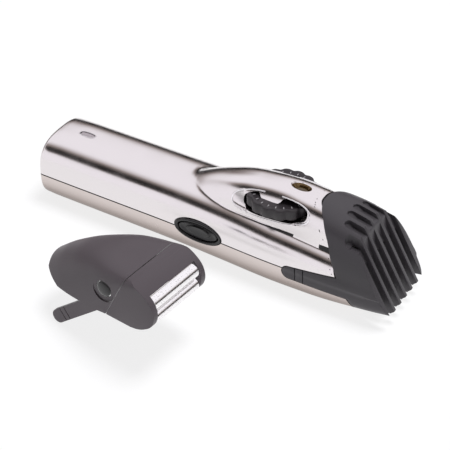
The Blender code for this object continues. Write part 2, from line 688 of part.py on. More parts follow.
def roof_height(x, y):
    """Height of the comb's roof above one line along the handle."""
    low, high = math.radians(20), math.radians(90)
    for _ in range(30):
        middle = (low + high) / 2
        if skin(x, middle)[1] > abs(y):
            low = middle
        else:
            high = middle
    return skin(x, low)[2]


# ---- foil shaver head -------------------------------------------------------------------------
def head_lift():
    """Height that sets the round leg tips on the table."""
    c, s = math.cos(HEAD_PITCH), math.sin(HEAD_PITCH)
    return LEG_RADIUS - (LEG_TIP_X * s + LEG_Z * c)


HEAD = group_frame("foil_head_frame", at(HEAD_X, HEAD_Y, head_lift()),
                   (0, -HEAD_PITCH, HEAD_YAW))
HALF = HEAD_WIDTH / 2
SEAM_TOP, SEAM_LOW = (51.0, 6.6), (30.1, -2.6)
FOILS = ((52.9, -5.9), (48.9, -10.7))
FOIL_RADIUS = 2.8
KNOB_X, KNOB_Z = 36.0, 6.0     # release knobs, in the hood's own side view
KNOB_RADIUS = 3.2
KNOB_LENGTH = 3.1
POCKET_RADIUS = 5.2            # round finger pocket about each knob
POCKET_DEPTH = 0.9
POCKET_REACH = 3.0             # length of the tool that cuts it
HOOD_WALL = 1.6


def hood_outline(inset):
    """Side view of the hood: crest, front curl, lower lobe and the raked rear edge."""
    n = inset
    if n:
        return [(-8, 22.8 - n), (-0.6, 22.6 - n), (12, 20.6 - n), (24, 18.0 - n), (35, 15.0 - n),
                (45.2, 10.9 - n), (51.0 - n, 5.6), (55.6 - n, 0.4), (58.2 - n, -4.6),
                (57.4 - n, -8.4), (54.0 - 0.7 * n, -11.9 + n), (49.6, -13.2 + n),
                (44.6, -13.2 + n), (41.5, -12.3 + n), (40.0, -25), (-8, -25)]
    return [(-0.6, 22.8), (12, 20.6), (24, 18.0), (35, 15.0), (45.2, 10.9), (51.0, 6.6),
            (55.6, 1.2), (58.2, -4.6), (57.6, -8.4), (54.3, -11.8), (49.6, -13.2), (45.0, -13.3),
            (41.5, -12.3), (38.5, -10.6), (29.7, -3.0), (26.0, -0.5)] + leg_outline() + [
            (19.0, LEG_Z + LEG_RADIUS)]


def leg_outline():
    points = []
    for i in range(9):
        a = math.radians(270 - 180 * i / 8)
        points.append((LEG_TIP_X + LEG_RADIUS * math.cos(a), LEG_Z + LEG_RADIUS * math.sin(a)))
    return points


hood_crest = curve_through((-12, 21.5), (0, 23.0), (12, 20.8), (24, 18.2), (35, 15.2), (46, 14.0),
                           (64, 14.0))
hood_power = curve_through((-12, 2.2), (12, 2.4), (30, 3.2), (42, 7.0), (64, 12.0))


def hood_body(name, inset, finish):
    """Arched body of the hood: round behind, nearly square over the foils."""
    rings = []
    for x in (-12, -6, 0, 6, 12, 18, 24, 30, 36, 42, 48, 62):
        ring = []
        for i in range(21):
            a = math.pi * i / 20
            c, s = math.cos(a), math.sin(a)
            r = super_radius(c, s, HALF - inset, hood_crest(x) - inset, hood_power(x))
            ring.append((x, r * c, r * s))
        rings.append([(x, HALF - inset, -30)] + ring + [(x, inset - HALF, -30)])
    return ring_loft(name, rings, finish, HEAD, local)


def beyond_seam(name, shift, front):
    """Half space on one side of the seam, shifted off it by half the joint's gap."""
    along = Vector((SEAM_TOP[0] - SEAM_LOW[0], SEAM_TOP[1] - SEAM_LOW[1])).normalized()
    across = Vector((along.y, -along.x))
    base = Vector(SEAM_LOW) + across * shift
    far = 60 if front else -60
    corners = [base - along * 60, base + along * 60, base + along * 60 + across * far,
               base - along * 60 + across * far]
    return side_prism(name, [tuple(p) for p in corners], (-24, 24), None, HEAD, local)


def hood_shell(name, wall):
    """The whole hood with both legs, before it is parted at the seam."""
    hood = hood_body(name, 0.0, GREY)
    boolean(hood, side_prism(name + "_side_view", hood_outline(0), (-20, 20), None, HEAD, local),
            'INTERSECT')
    room = hood_body("cut_room_of_" + name, wall, None)
    view = side_prism("room_view_of_" + name, hood_outline(wall), (-20, 20), None, HEAD, local)
    boolean(room, view, 'INTERSECT')
    boolean(hood, room)
    return hood


def foil_head():
    hood = hood_shell("foil_hood", HOOD_WALL)
    boolean(hood, beyond_seam("cut_hood_front", -0.15, True))
    frame = hood_shell("foil_frame", HOOD_WALL)
    boolean(frame, beyond_seam("cut_frame_back", 0.15, False))
    mouth = side_prism("cut_foil_mouth", [(50.6, -1.6), (62, -1.0), (62, -20), (45.4, -20),
                                          (45.4, -9.0)], (-12.6, 12.6), None, HEAD, local)
    boolean(frame, mouth)
    for side, word in ((-1, "right"), (1, "left")):
        pocket_y = side * (HALF + POCKET_REACH / 2 - POCKET_DEPTH) - POCKET_REACH / 2
        boolean(hood, rod("cut_pocket_" + word, 'Y', (KNOB_X, pocket_y, KNOB_Z), POCKET_REACH,
                          POCKET_RADIUS, None, HEAD, 32, place=local))
        boolean(hood, rod("cut_button_bore_" + word, 'Y', (KNOB_X, side * HALF - 4, KNOB_Z), 8,
                          KNOB_RADIUS + GAP, None, HEAD, 28, place=local))
        knob_y = side * (HALF - 0.3 - KNOB_LENGTH / 2) - KNOB_LENGTH / 2
        rod("hood_button_" + word, 'Y', (KNOB_X, knob_y, KNOB_Z), KNOB_LENGTH, KNOB_RADIUS, GREY,
            HEAD, 28, place=local)
    for word, (x, z) in zip(("upper", "lower"), FOILS):
        foil = rod("foil_" + word, 'Y', (x, -12.3, z), 24.6, FOIL_RADIUS, STEEL, HEAD, 28,
                   place=local)
        boolean(foil, rod("cut_foil_" + word, 'Y', (x, -14, z), 28, FOIL_RADIUS - 0.35, None,
                          HEAD, 28, place=local))
        behind = [(x - 4.5, z - 1.6), (x + 1.6, z + 4.5), (x - 5, z + 9), (x - 9, z + 5)]
        boolean(foil, side_prism("cut_foil_back_" + word, behind, (-14, 14), None, HEAD, local))
        rod("cutter_" + word, 'Y', (x, -10.6, z), 21.2, 1.9, STEEL, HEAD, 20, place=local)
    cradle = side_prism("cutter_cradle", [(44.4, -3.6), (48.4, 0.0), (46.0, 3.0), (39.0, 3.0),
                                          (38.0, 0.0)], (-8, 8), WHITE, HEAD, local)
    boolean(cradle, box("cut_cradle_slot", (36, 42), (-3, 3), (-4, 1), None, HEAD, place=local))


top_cover()
bottom_cover()
housing_screws()
status_light()
setting_window()
power_switch()
battery()
charging_socket()
circuit_board()
motor()
blades()
drive_fork()
head_nose()
inner_frame()
length_dial()
comb_carriage()
guide_comb()
foil_head()
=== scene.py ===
# %% [markdown]
# # A cordless beard trimmer and its loose foil head
# The trimmer's real parts were measured and joined in the CAD model.  This lesson dresses that
# model: it loads it as a fixed frame, builds a finely meshed skin for each visible part, gives
# every part the material the real one is made of, and sets up a small studio.

# %% Load the frame
import json
import math

import bmesh
import bpy
import numpy as np
from mathutils import Matrix, Vector


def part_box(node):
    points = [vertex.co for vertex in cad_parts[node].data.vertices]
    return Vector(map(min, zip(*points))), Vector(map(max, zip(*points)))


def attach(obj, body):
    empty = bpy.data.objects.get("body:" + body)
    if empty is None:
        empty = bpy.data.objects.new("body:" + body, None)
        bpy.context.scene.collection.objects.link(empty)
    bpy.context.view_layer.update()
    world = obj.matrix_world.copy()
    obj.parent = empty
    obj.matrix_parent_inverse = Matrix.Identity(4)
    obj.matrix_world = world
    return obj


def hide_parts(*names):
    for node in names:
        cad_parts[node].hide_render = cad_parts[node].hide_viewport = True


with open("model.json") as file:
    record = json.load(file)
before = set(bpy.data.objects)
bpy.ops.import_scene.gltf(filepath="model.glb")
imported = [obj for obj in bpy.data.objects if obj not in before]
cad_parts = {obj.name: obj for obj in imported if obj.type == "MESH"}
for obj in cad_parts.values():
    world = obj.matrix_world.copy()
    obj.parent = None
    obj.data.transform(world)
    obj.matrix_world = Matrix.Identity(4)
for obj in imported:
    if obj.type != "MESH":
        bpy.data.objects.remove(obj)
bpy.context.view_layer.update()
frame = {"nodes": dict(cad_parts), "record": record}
print("nodes:", len(frame["nodes"]))

# %% [markdown]
# ## Measurements
# A maker's drawing of a handle is laid out along its length, so every size here is in
# millimetres from the rear end, and one function turns such a point into the frame's metres.

# %% Lengths and places
MM = 0.001
REAR_TO_ORIGIN = 83.0
SPLIT_Z = 13.3
SPLIT_GAP = 0.25
WALL = 1.8
FRONT_X, FRONT_RAKE = 154.2, 0.7
DIAL_X, DIAL_RADIUS, DIAL_LOW, DIAL_HIGH, DIAL_LOBES = 110.3, 14.6, 31.2, 35.8, 16
BUTTON_X, BUTTON_Z = 81.3, 14.5
LIGHT_X, LIGHT_LONG, LIGHT_WIDE, LIGHT_POWER = 17.0, 3.75, 1.65, 2.8
WINDOW_X = 118.4
ARM_BACK, ARM_LOW, ARM_HIGH, ARM_INNER = 120.3, 9.1, 14.9, 15.2
CUT_X, CUT_Z, CUT_TURN = 154.3, 25.5, math.radians(60.46)


def metres(points):
    """Points in millimetres from the rear end, as an array in the frame's metres."""
    return (np.asarray(points, float) - (REAR_TO_ORIGIN, 0, 0)) * MM


print("handle from", metres([(0, 0, 0)])[0], "to", metres([(FRONT_X, 0, 0)])[0])

# %% [markdown]
# ## Smooth curves
# The handle's width, crown and belly change slowly along its length.  A designer draws each as
# a curve through a few points.  This one never overshoots its points, so no bump appears that
# nobody drew.

# %% A curve through knots
def curve_through(*knots):
    xs, ys = (np.array(values, float) for values in zip(*knots))
    steps = np.diff(xs)
    slopes = np.diff(ys) / steps
    tangents = np.zeros(len(xs))
    tangents[0], tangents[-1] = slopes[0], slopes[-1]
    for k in range(1, len(xs) - 1):
        a, b = slopes[k - 1], slopes[k]
        tangents[k] = 0.0 if a * b <= 0 else 2 * a * b / (a + b)

    def value(x):
        x = np.clip(np.asarray(x, float), xs[0], xs[-1])
        i = np.clip(np.searchsorted(xs, x, side="left") - 1, 0, len(steps) - 1)
        t = (x - xs[i]) / steps[i]
        start = ys[i] * (1 + 2 * t) * (1 - t) ** 2 + steps[i] * tangents[i] * t * (1 - t) ** 2
        end = ys[i + 1] * t * t * (3 - 2 * t) + steps[i] * tangents[i + 1] * t * t * (t - 1)
        return start + end

    return value


half_width = curve_through((0, 16.3), (20, 16.4), (60, 16.5), (90, 17.2), (115, 18.0),
                           (135, 17.9), (155, 17.0), (168, 15.6))
base_top = curve_through((0, 27.8), (15, 28.5), (65, 28.6), (85, 26.4), (105, 23.4),
                         (125, 21.0), (168, 18.0))
belly = curve_through((0, 0.8), (10, 0.0), (112, 0.0), (130, 0.4), (155, 2.8), (168, 4.2))
pod_half = curve_through((62, 3.0), (70, 9.0), (80, 13.4), (92, 15.6), (112, 16.8),
                         (130, 17.0), (155, 17.0), (168, 15.6))
pod_top = curve_through((62, 22.0), (70, 28.8), (84, 35.0), (100, 39.0), (116, 40.4),
                        (126, 39.6), (140, 37.9), (152, 35.0), (168, 28.0))
pod_power = curve_through((62, 2.1), (100, 2.2), (120, 2.4), (140, 3.0), (155, 3.1))
low_power = curve_through((0, 3.0), (70, 3.2), (110, 3.6), (155, 3.8))
print("crown at the dial:", round(float(pod_top(DIAL_X)), 2), "mm")

# %% [markdown]
# ## The skin of the handle
# The handle's section is a rounded square with a raised pod that swells out of it.  Both are
# superellipses about one spine, and the larger of the two radii wins, with a soft blend where
# they cross.  One function gives any point of the skin, so the covers, the comb and every edge
# that follows them agree.

# %% Skin from the curves
BASE_POWER, BLEND, FLAT = 2.9, 1.2, 0.35
POD_START = 60.0
END_LENGTH, END_POWER = 4.2, 2.2


def super_radius(c, s, across, up, power):
    return ((np.abs(c) / across) ** power + (np.abs(s) / up) ** power) ** (-1.0 / power)


def skin_radius(x, angle):
    c, s = np.cos(angle), np.sin(angle)
    below = super_radius(c, s, half_width(x), SPLIT_Z - belly(x) + FLAT, low_power(x))
    base = super_radius(c, s, half_width(x), base_top(x) - SPLIT_Z, BASE_POWER)
    pod = super_radius(c, s, pod_half(x), pod_top(x) - SPLIT_Z, pod_power(x))
    both = 0.5 * (base + pod + np.sqrt((base - pod) ** 2 + BLEND ** 2))
    return np.where(s < 0, below, np.where(x <= POD_START, base, both))


def skin(x, angle, inset=0.0, radius_at=skin_radius):
    """Points of a skin, or of one that runs this far inside it, with a domed rear end."""
    x, angle = np.broadcast_arrays(np.asarray(x, float), np.asarray(angle, float))
    t = np.clip((x - inset) / (END_LENGTH - 0.4 * inset), 0.0, 1.0)
    dome = (1 - (1 - t) ** END_POWER) ** (1 / END_POWER)
    r = (radius_at(x, angle) - inset) * dome
    z = SPLIT_Z + r * np.sin(angle)
    return np.stack([x, r * np.cos(angle), np.maximum(z, belly(x) + inset)], axis=-1)


print("widest skin:", round(float(skin(115.0, 0.0)[1]) * 2, 2), "mm")

# %% [markdown]
# ## Small modelling tools
# A few helpers keep the cells short.  One makes a mesh object from points and faces, one weaves
# faces between rings of points, and one runs a Boolean and keeps its result.  Another marks the
# edges that stay crisp while everything else shades smooth.

# %% Mesh helpers
WORK = bpy.context.scene.collection


def mesh_object(name, points, faces, finish=None):
    data = bpy.data.meshes.new(name)
    data.from_pydata([tuple(p) for p in points], [], [tuple(f) for f in faces])
    data.validate()
    made = bpy.data.objects.new(name, data)
    WORK.objects.link(made)
    if finish is not None:
        data.materials.append(finish)
    return made


def woven(rows, columns, closed=False):
    """Quads between rows of points; closed joins each row's end to its start."""
    last = columns if closed else columns - 1
    faces = []
    for r in range(rows - 1):
        for c in range(last):
            d = (c + 1) % columns
            a, b = r * columns, (r + 1) * columns
            faces.append((a + c, a + d, b + d, b + c))
    return faces


def outward(made):
    """Weld doubles and turn every face of a closed shape outwards."""
    bm = bmesh.new()
    bm.from_mesh(made.data)
    bmesh.ops.remove_doubles(bm, verts=bm.verts, dist=1e-7)
    bmesh.ops.recalc_face_normals(bm, faces=bm.faces)
    if bm.calc_volume(signed=True) < 0:
        bmesh.ops.reverse_faces(bm, faces=bm.faces)
    bm.to_mesh(made.data)
    bm.free()
    return made


def crisp(made, degrees=32):
    """Smooth shading, except across edges sharper than this."""
    bm = bmesh.new()
    bm.from_mesh(made.data)
    limit = math.radians(degrees)
    for edge in bm.edges:
        two = len(edge.link_faces) == 2
        edge.smooth = not (two and edge.calc_face_angle(0.0) > limit)
    for face in bm.faces:
        face.smooth = True
    bm.to_mesh(made.data)
    bm.free()
    return made


def baked(made):
    """The object's mesh with its modifiers run, as a plain mesh."""
    graph = bpy.context.evaluated_depsgraph_get()
    data = bpy.data.meshes.new_from_object(made.evaluated_get(graph))
    made.modifiers.clear()
    old = made.data
    made.data = data
    bpy.data.meshes.remove(old)
    return made


def boolean(target, tool, operation="DIFFERENCE", solver="MANIFOLD"):
    change = target.modifiers.new("cut", "BOOLEAN")
    change.operation, change.object, change.solver = operation, tool, solver
    baked(target)
    bpy.data.objects.remove(tool, do_unlink=True)
    return target


def ring_body(name, rings, finish=None):
    """A closed body through rings of points in millimetres, flat at both ends."""
    rings = np.asarray(rings, float)
    rows, columns = rings.shape[:2]
    faces = woven(rows, columns, closed=True)
    faces.append(tuple(range(columns)))
    faces.append(tuple((rows - 1) * columns + c for c in range(columns)))
    return outward(mesh_object(name, metres(rings.reshape(-1, 3)), faces, finish))


def prism(name, outline, low, high, along="Y", finish=None, place=metres):
    """A flat outline drawn straight out: a side view along Y, or a plan along Z."""
    ends = []
    for level in (low, high):
        if along == "Y":
            ends.append([(a, level, b) for a, b in outline])
        else:
            ends.append([(a, b, level) for a, b in outline])
    n = len(outline)
    faces = woven(2, n, closed=True) + [tuple(range(n)), tuple(range(n, 2 * n))]
    return outward(mesh_object(name, place(np.array(ends).reshape(-1, 3)), faces, finish))


def oval(cx, cy, a, b, count=48, power=2.0):
    turn = np.linspace(0, 2 * np.pi, count, endpoint=False)
    c, s = np.cos(turn), np.sin(turn)
    r = super_radius(c, s, a, b, power)
    return np.stack([cx + r * c, cy + r * s], axis=-1)


print("helpers ready")

# %% [markdown]
# ## Materials
# A material starts from what the real one is and how its surface was made.  The colours are
# written as hex values, as a paint chart gives them, and one function turns them to the linear
# numbers that a shader works in.

# %% Colour and node helpers
def linear(hex_colour):
    parts = [int(hex_colour[i:i + 2], 16) / 255 for i in (1, 3, 5)]
    return [p / 12.92 if p <= 0.04045 else ((p + 0.055) / 1.055) ** 2.4 for p in parts] + [1.0]


def add_node(tree, kind, inputs=None, **settings):
    """One node with its settings; an input is a value, or a socket to link from."""
    made = tree.nodes.new(kind)
    for key, value in settings.items():
        setattr(made, key, value)
    for key, value in (inputs or {}).items():
        if isinstance(value, bpy.types.NodeSocket):
            tree.links.new(value, made.inputs[key])
        else:
            made.inputs[key].default_value = value
    return made


def new_material(name, hex_colour, roughness, metallic=0.0, **more):
    made = bpy.data.materials.new(name)
    made.use_nodes = True
    shader = made.node_tree.nodes["Principled BSDF"]
    shader.inputs["Base Color"].default_value = linear(hex_colour)
    shader.inputs["Roughness"].default_value = roughness
    shader.inputs["Metallic"].default_value = metallic
    for key, value in more.items():
        shader.inputs[key.replace("_", " ")].default_value = value
    return made, made.node_tree, shader


def per_metre(millimetres):
    """Noise scale that makes a feature of this size on Object coordinates."""
    return 1.0 / (millimetres * MM)


def noise_of(tree, size, detail, stretch):
    """Noise in patches of one size in millimetres, drawn out by stretch."""
    place = add_node(tree, "ShaderNodeTexCoord")
    turn = add_node(tree, "ShaderNodeMapping", {"Vector": place.outputs["Object"],
                                                "Scale": stretch})
    return add_node(tree, "ShaderNodeTexNoise", {"Vector": turn.outputs["Vector"],
                                                 "Scale": per_metre(size), "Detail": detail})


def grain(tree, shader, size, depth, stretch=(1, 1, 1)):
    """A fine bump of one size and depth in millimetres."""
    noise = noise_of(tree, size, 2.0, stretch)
    bump = add_node(tree, "ShaderNodeBump", {"Height": noise.outputs["Fac"], "Strength": 1.0,
                                             "Distance": depth * MM})
    tree.links.new(bump.outputs["Normal"], shader.inputs["Normal"])


def mottle(tree, shader, size, socket, low, high, stretch=(1, 1, 1)):
    """Slow variation of one input between two values over patches of this size."""
    noise = noise_of(tree, size, 3.0, stretch)
    span = add_node(tree, "ShaderNodeMapRange", {"Value": noise.outputs["Fac"], "From Min": 0.3,
                                                 "From Max": 0.7, "To Min": low, "To Max": high})
    tree.links.new(span.outputs["Result"], shader.inputs[socket])


print("white is", linear("#ffffff"))

# %% [markdown]
# ### Satin nickel plating
# The covers are moulded ABS, plated with copper and then satin nickel.  Plating is a true metal
# mirror that a fine blast has softened, so it is fully metallic with a low, slightly uneven
# roughness.  It carries the shape by its reflections alone, which is why the skin needs a fine
# mesh.

# %% Satin nickel
NICKEL, tree, shader = new_material("satin_nickel_plating", "#e4dfe0", 0.2, 1.0)
mottle(tree, shader, 9.0, "Roughness", 0.17, 0.23)
grain(tree, shader, 0.5, 0.0012)
CHROME, tree, shader = new_material("bright_chrome_edge", "#f2f0f2", 0.08, 1.0)
mottle(tree, shader, 3.0, "Roughness", 0.06, 0.11)

# %% [markdown]
# The lower cover is the same plating, a little rougher, because it is the face that rests on
# tables.  Its colour is painted shade: a darker, browner copy of the plating that grows darker
# towards the underside, by height on Object coordinates, for the shaded floor it mirrors.

# %% Nickel of the lower cover, with painted shade
UNDERSIDE, UNDER_SPLIT = 1.0, 12.5
# Painted shade: a darker, browner copy of the satin nickel for the lower cover.
SHADED_NICKEL, tree, shader = new_material("satin_nickel_painted_shade", "#b8aca7", 0.3, 1.0)
mottle(tree, shader, 9.0, "Roughness", 0.27, 0.33)
place = add_node(tree, "ShaderNodeTexCoord")
parts = add_node(tree, "ShaderNodeSeparateXYZ", {0: place.outputs["Object"]})
shade_by_height = add_node(tree, "ShaderNodeMapRange", {"Value": parts.outputs["Z"],
                                             "From Min": UNDERSIDE * MM,
                                             "From Max": UNDER_SPLIT * MM, "To Min": 0.0,
                                             "To Max": 1.0}, interpolation_type="SMOOTHSTEP")
# Painted shade: dark brown at the underside, pale at the split, by height.
shade = add_node(tree, "ShaderNodeMix", {"Factor": shade_by_height.outputs["Result"]}, data_type="RGBA")
shade.inputs[6].default_value = linear("#75655e")
shade.inputs[7].default_value = linear("#d2c8c4")
tree.links.new(shade.outputs[2], shader.inputs["Base Color"])
grain(tree, shader, 0.5, 0.0012)

# %% [markdown]
# ### Moulded plastics
# The comb and the foil head are charcoal ABS with a fine spark-eroded texture, which spreads
# the light into a soft satin.  The foil head carries a little grey pigment.  The inside of the
# covers is bare black ABS, because plating stops at the mask.

# %% Plastics
CHARCOAL, tree, shader = new_material("charcoal_satin_abs", "#4a474b", 0.34,
                                      Specular_IOR_Level=0.3)
grain(tree, shader, 0.35, 0.006)
mottle(tree, shader, 12.0, "Roughness", 0.33, 0.40)
HOOD_GREY, tree, shader = new_material("grey_pigmented_abs", "#5b5459", 0.4,
                                       Specular_IOR_Level=0.3)
grain(tree, shader, 0.35, 0.006)
mottle(tree, shader, 12.0, "Roughness", 0.38, 0.46)
BARE_BLACK, tree, shader = new_material("bare_black_abs", "#0c0c0d", 0.55)
grain(tree, shader, 0.4, 0.01)
GLOSS_BLACK, tree, shader = new_material("polished_black_abs", "#161517", 0.26)
grain(tree, shader, 0.6, 0.001)
mottle(tree, shader, 6.0, "Roughness", 0.22, 0.30)
DIAL_BLACK, tree, shader = new_material("soft_touch_black_rubber", "#2e2a2d", 0.45)
grain(tree, shader, 0.3, 0.01)
ACETAL, tree, shader = new_material("natural_acetal", "#e6e3da", 0.45)
grain(tree, shader, 0.5, 0.002)
mottle(tree, shader, 8.0, "Roughness", 0.4, 0.5)

# %% [markdown]
# ### Metals, cells and board
# Blades and foils are stainless steel, ground along one direction, so their grain is a noise
# drawn out to long lines.  Contacts are nickel silver.  The cells wear a shrunk green sleeve
# and the board is green solder resist over copper tracks.

# %% Metals and electrics
STEEL, tree, shader = new_material("ground_stainless", "#c9c8c6", 0.25, 1.0)
grain(tree, shader, 0.35, 0.003, stretch=(1, 0.04, 1))
mottle(tree, shader, 2.0, "Roughness", 0.2, 0.32, stretch=(1, 0.1, 1))
CONTACT, tree, shader = new_material("nickel_silver", "#c3b48a", 0.32, 1.0)
grain(tree, shader, 0.4, 0.003, stretch=(0.1, 1, 1))
SLEEVE, tree, shader = new_material("green_shrink_sleeve", "#2f7a48", 0.35)
grain(tree, shader, 4.0, 0.05, stretch=(0.15, 1, 1))
RESIST, tree, shader = new_material("green_solder_resist", "#14512b", 0.3)
place = add_node(tree, "ShaderNodeTexCoord")
tracks = add_node(tree, "ShaderNodeTexBrick", {"Vector": place.outputs["Object"],
                                               "Scale": per_metre(6.0),
                                               "Color1": linear("#14512b"),
                                               "Color2": linear("#185c33"),
                                               "Mortar": linear("#2c8a52"),
                                               "Mortar Size": 0.05})
tree.links.new(tracks.outputs["Color"], shader.inputs["Base Color"])
SMOKED, tree, shader = new_material("smoked_acrylic", "#4a3b22", 0.08)
mottle(tree, shader, 2.0, "Roughness", 0.06, 0.12)
FROSTED, tree, shader = new_material("frosted_acrylic", "#b3aab0", 0.4)
grain(tree, shader, 0.3, 0.004)
LAMP, tree, shader = new_material("green_epoxy_lamp", "#3fae55", 0.15)
mottle(tree, shader, 1.0, "Roughness", 0.12, 0.2)
print(len(bpy.data.materials), "materials")

# %% [markdown]
# ## The seen skin
# The housing's real pod is slimmer than the envelope above where the dial sits, and stands on
# a broad wing that runs out to the comb's corner.  Both stop at the front edge, a little below
# the comb's surface.  That edge leans back with height and bulges forward in the middle.  All
# of it is one radius about the spine, which keeps the wall behind it from ever crossing it.

# %% Pod, wing and finger scoops
slim_half = curve_through((62, 3.0), (70, 9.0), (80, 11.8), (92, 12.3), (112, 12.2),
                          (130, 12.6), (168, 13.0))
slim_power = curve_through((62, 2.1), (80, 2.3), (96, 2.9), (168, 3.0))
wing_top = curve_through((0, 27.8), (15, 28.5), (65, 28.6), (85, 28.4), (100, 27.9),
                         (115, 27.0), (128, 26.2), (138, 25.4), (168, 23.0))
CREASE = 0.5
SCOOP_X, SCOOP_Z, SCOOP_LONG, SCOOP_HIGH = 110.0, 33.2, 17.0, 4.9
SCOOP_TILT, SCOOP_POWER, SCOOP_DEPTH, SCOOP_EASE = 0.07, 2.3, 3.0, 0.8
DIAL_CLEAR = DIAL_RADIUS + 0.4


def smoothstep(low, high, value):
    t = np.clip((value - low) / (high - low), 0.0, 1.0)
    return t * t * (3 - 2 * t)


def opening_measure(x, z):
    """Below 1 inside the long oval round the dial, and 1 on its rim."""
    rise = SCOOP_Z + SCOOP_TILT * (x - SCOOP_X)
    return (np.abs((x - SCOOP_X) / SCOOP_LONG) ** SCOOP_POWER
            + np.abs((z - rise) / SCOOP_HIGH) ** SCOOP_POWER)


def seen_radius(x, angle):
    c, s = np.cos(angle), np.sin(angle)
    envelope = skin_radius(x, angle)
    wing = super_radius(c, s, half_width(x), wing_top(x) - SPLIT_Z, BASE_POWER)
    pod = super_radius(c, s, slim_half(x), pod_top(x) - SPLIT_Z, slim_power(x))
    slim = 0.5 * (wing + pod + np.sqrt((wing - pod) ** 2 + CREASE ** 2))
    radius = np.where((s < 0) | (x <= POD_START), envelope, slim)
    z = SPLIT_Z + radius * s
    inside = np.clip(1 - opening_measure(x, z), 0.0, 1.0)
    scooped = radius - SCOOP_DEPTH * inside ** SCOOP_EASE
    off = np.clip(DIAL_CLEAR ** 2 - (x - DIAL_X) ** 2, 0.0, None)
    scooped = np.maximum(scooped, np.sqrt(off) / np.maximum(np.abs(c), 0.05))
    return np.where((inside > 0) & (s > 0), np.minimum(radius, scooped), radius)


def seen_skin(x, angle, inset=0.0):
    return skin(x, angle, inset, seen_radius)


edge_bulge = curve_through((0, 0), (13, 0), (17.4, 0.8), (25, 2.8), (31.5, 4.6), (36, 4.3),
                           (38.4, 2.9), (40, 1.2), (46, 1.2))


def front_x(angle, inset=0.0):
    """Where the skin meets the raked, bulging front edge of the covers."""
    x = np.full(np.shape(angle), FRONT_X - FRONT_RAKE * SPLIT_Z)
    for _ in range(24):
        z = seen_skin(x, angle, inset)[..., 2]
        x = 0.5 * (x + FRONT_X - FRONT_RAKE * z + edge_bulge(z))
    return x


print("pod half width at the dial:", round(float(slim_half(DIAL_X)), 2), "mm")

# %% [markdown]
# ## Top and bottom covers
# Each cover is a shell: an outer skin in fine rings, an inner one 1.8 mm behind it in coarse
# rings, closed along the split and the front edge.  Rings are packed closely round the dial,
# where the scoops need them, and lean over to meet the raked front edge.

# %% Shells from rings
LEAN_START = 88.0


def ring_positions(angle, inset):
    """Station of every ring at every angle: rear dome, barrel, then leaning rings."""
    dome = END_LENGTH * np.linspace(0.04, 1.0, 18) ** 3
    barrel = np.linspace(END_LENGTH, LEAN_START, 42)[1:]
    lean = np.linspace(0.0, 1.0, 132)[1:]
    dome = inset + dome * (END_LENGTH - inset) / END_LENGTH
    straight = np.concatenate([dome, barrel])[:, None] + 0 * angle[None, :]
    leaning = LEAN_START + (front_x(angle, inset) - LEAN_START)[None, :] * lean[:, None]
    return np.concatenate([straight, leaning])


def cover(name, first, last, side):
    """A closed half shell between two angles; side is +1 above the split, -1 below."""
    fine = np.radians(np.linspace(first, last, 181))
    coarse = np.radians(np.linspace(last, first, 41))
    rings = []
    for angle, inset in ((fine, 0.0), (coarse, WALL)):
        points = seen_skin(ring_positions(angle, inset), angle[None, :], inset)
        edge = SPLIT_Z + side * SPLIT_GAP
        points[..., 2] = np.maximum(points[..., 2], edge) if side > 0 else np.minimum(
            points[..., 2], edge)
        rings.append(points)
    return ring_body(name, np.concatenate(rings, axis=1))


top = cover("top_cover_skin", 0, 180, +1)
bottom = cover("bottom_cover_skin", 180, 360, -1)
for shell in (top, bottom):
    print(shell.name, len(shell.data.polygons), "faces")

# %% [markdown]
# ### Openings
# The covers open for the dial, the button, the light, the setting window, the comb's arms, the
# charging plug and the screws.  Each opening is cut with a shaped tool, as a moulder's core
# would form it.

# %% Cutting tools
def arm_slot(side):
    low, high = ARM_LOW - 0.2, ARM_HIGH + 0.3
    middle, r = (low + high) / 2, (high - low) / 2
    back = ARM_BACK - 0.3 + r
    turn = np.radians(np.linspace(90, 270, 25))
    outline = [(162, low), (162, high + 0.125 * (162 - back))]
    outline += list(zip(back + r * np.cos(turn), middle + r * np.sin(turn)))
    low_y, high_y = sorted((side * (ARM_INNER - 0.3), side * 24))
    return prism("arm_slot_tool", outline, low_y, high_y)


def dial_slot(side):
    """Side view of the dial's opening, with a tongue that hangs from its upper edge."""
    turn = np.linspace(0, 2 * np.pi, 96, endpoint=False)
    r = super_radius(np.cos(turn), np.sin(turn), 12.4, 4.5, 2.6)
    x, z = r * np.cos(turn), r * np.sin(turn)
    x = np.where(x > 0, 1.28 * x, x)
    tongue = 2.3 * (1 - smoothstep(3.2, 6.0, np.abs(x + 0.5)))
    z = np.where(z > 0, z - tongue, z)
    outline = list(zip(SCOOP_X + x, SCOOP_Z + 0.1 + SCOOP_TILT * x + z))
    low_y, high_y = sorted((side * 4.2, side * 24))
    return prism("dial_slot_tool", outline, low_y, high_y)


def tapered(name, low_oval, high_oval, low, high):
    """An upright cutter between two ovals in plan, for a countersunk opening."""
    rings = [[(x, y, z) for x, y in ring] for ring, z in ((low_oval, low), (high_oval, high))]
    return ring_body(name, rings)


for side in (-1, 1):
    boolean(top, dial_slot(side))
    boolean(top, arm_slot(side))
    boolean(bottom, arm_slot(side))
for shell in (top, bottom):
    boolean(shell, prism("button_hole", oval(BUTTON_X, BUTTON_Z, 11.3, 5.4, 96), -24, -14))
boolean(top, prism("light_slot", oval(LIGHT_X, 0, LIGHT_LONG, LIGHT_WIDE, 64, LIGHT_POWER),
                   24, 34, along="Z"))
window_foot, window_mouth = oval(WINDOW_X, 0, 2.9, 1.6, 64), oval(WINDOW_X, 0, 5.6, 3.3, 64)
boolean(top, tapered("window_flare", window_foot, window_mouth, 38.4, 41.6))
boolean(top, prism("window_well", window_foot, 34, 38.6, along="Z"))
print("top cover", len(top.data.polygons), "faces after cutting")

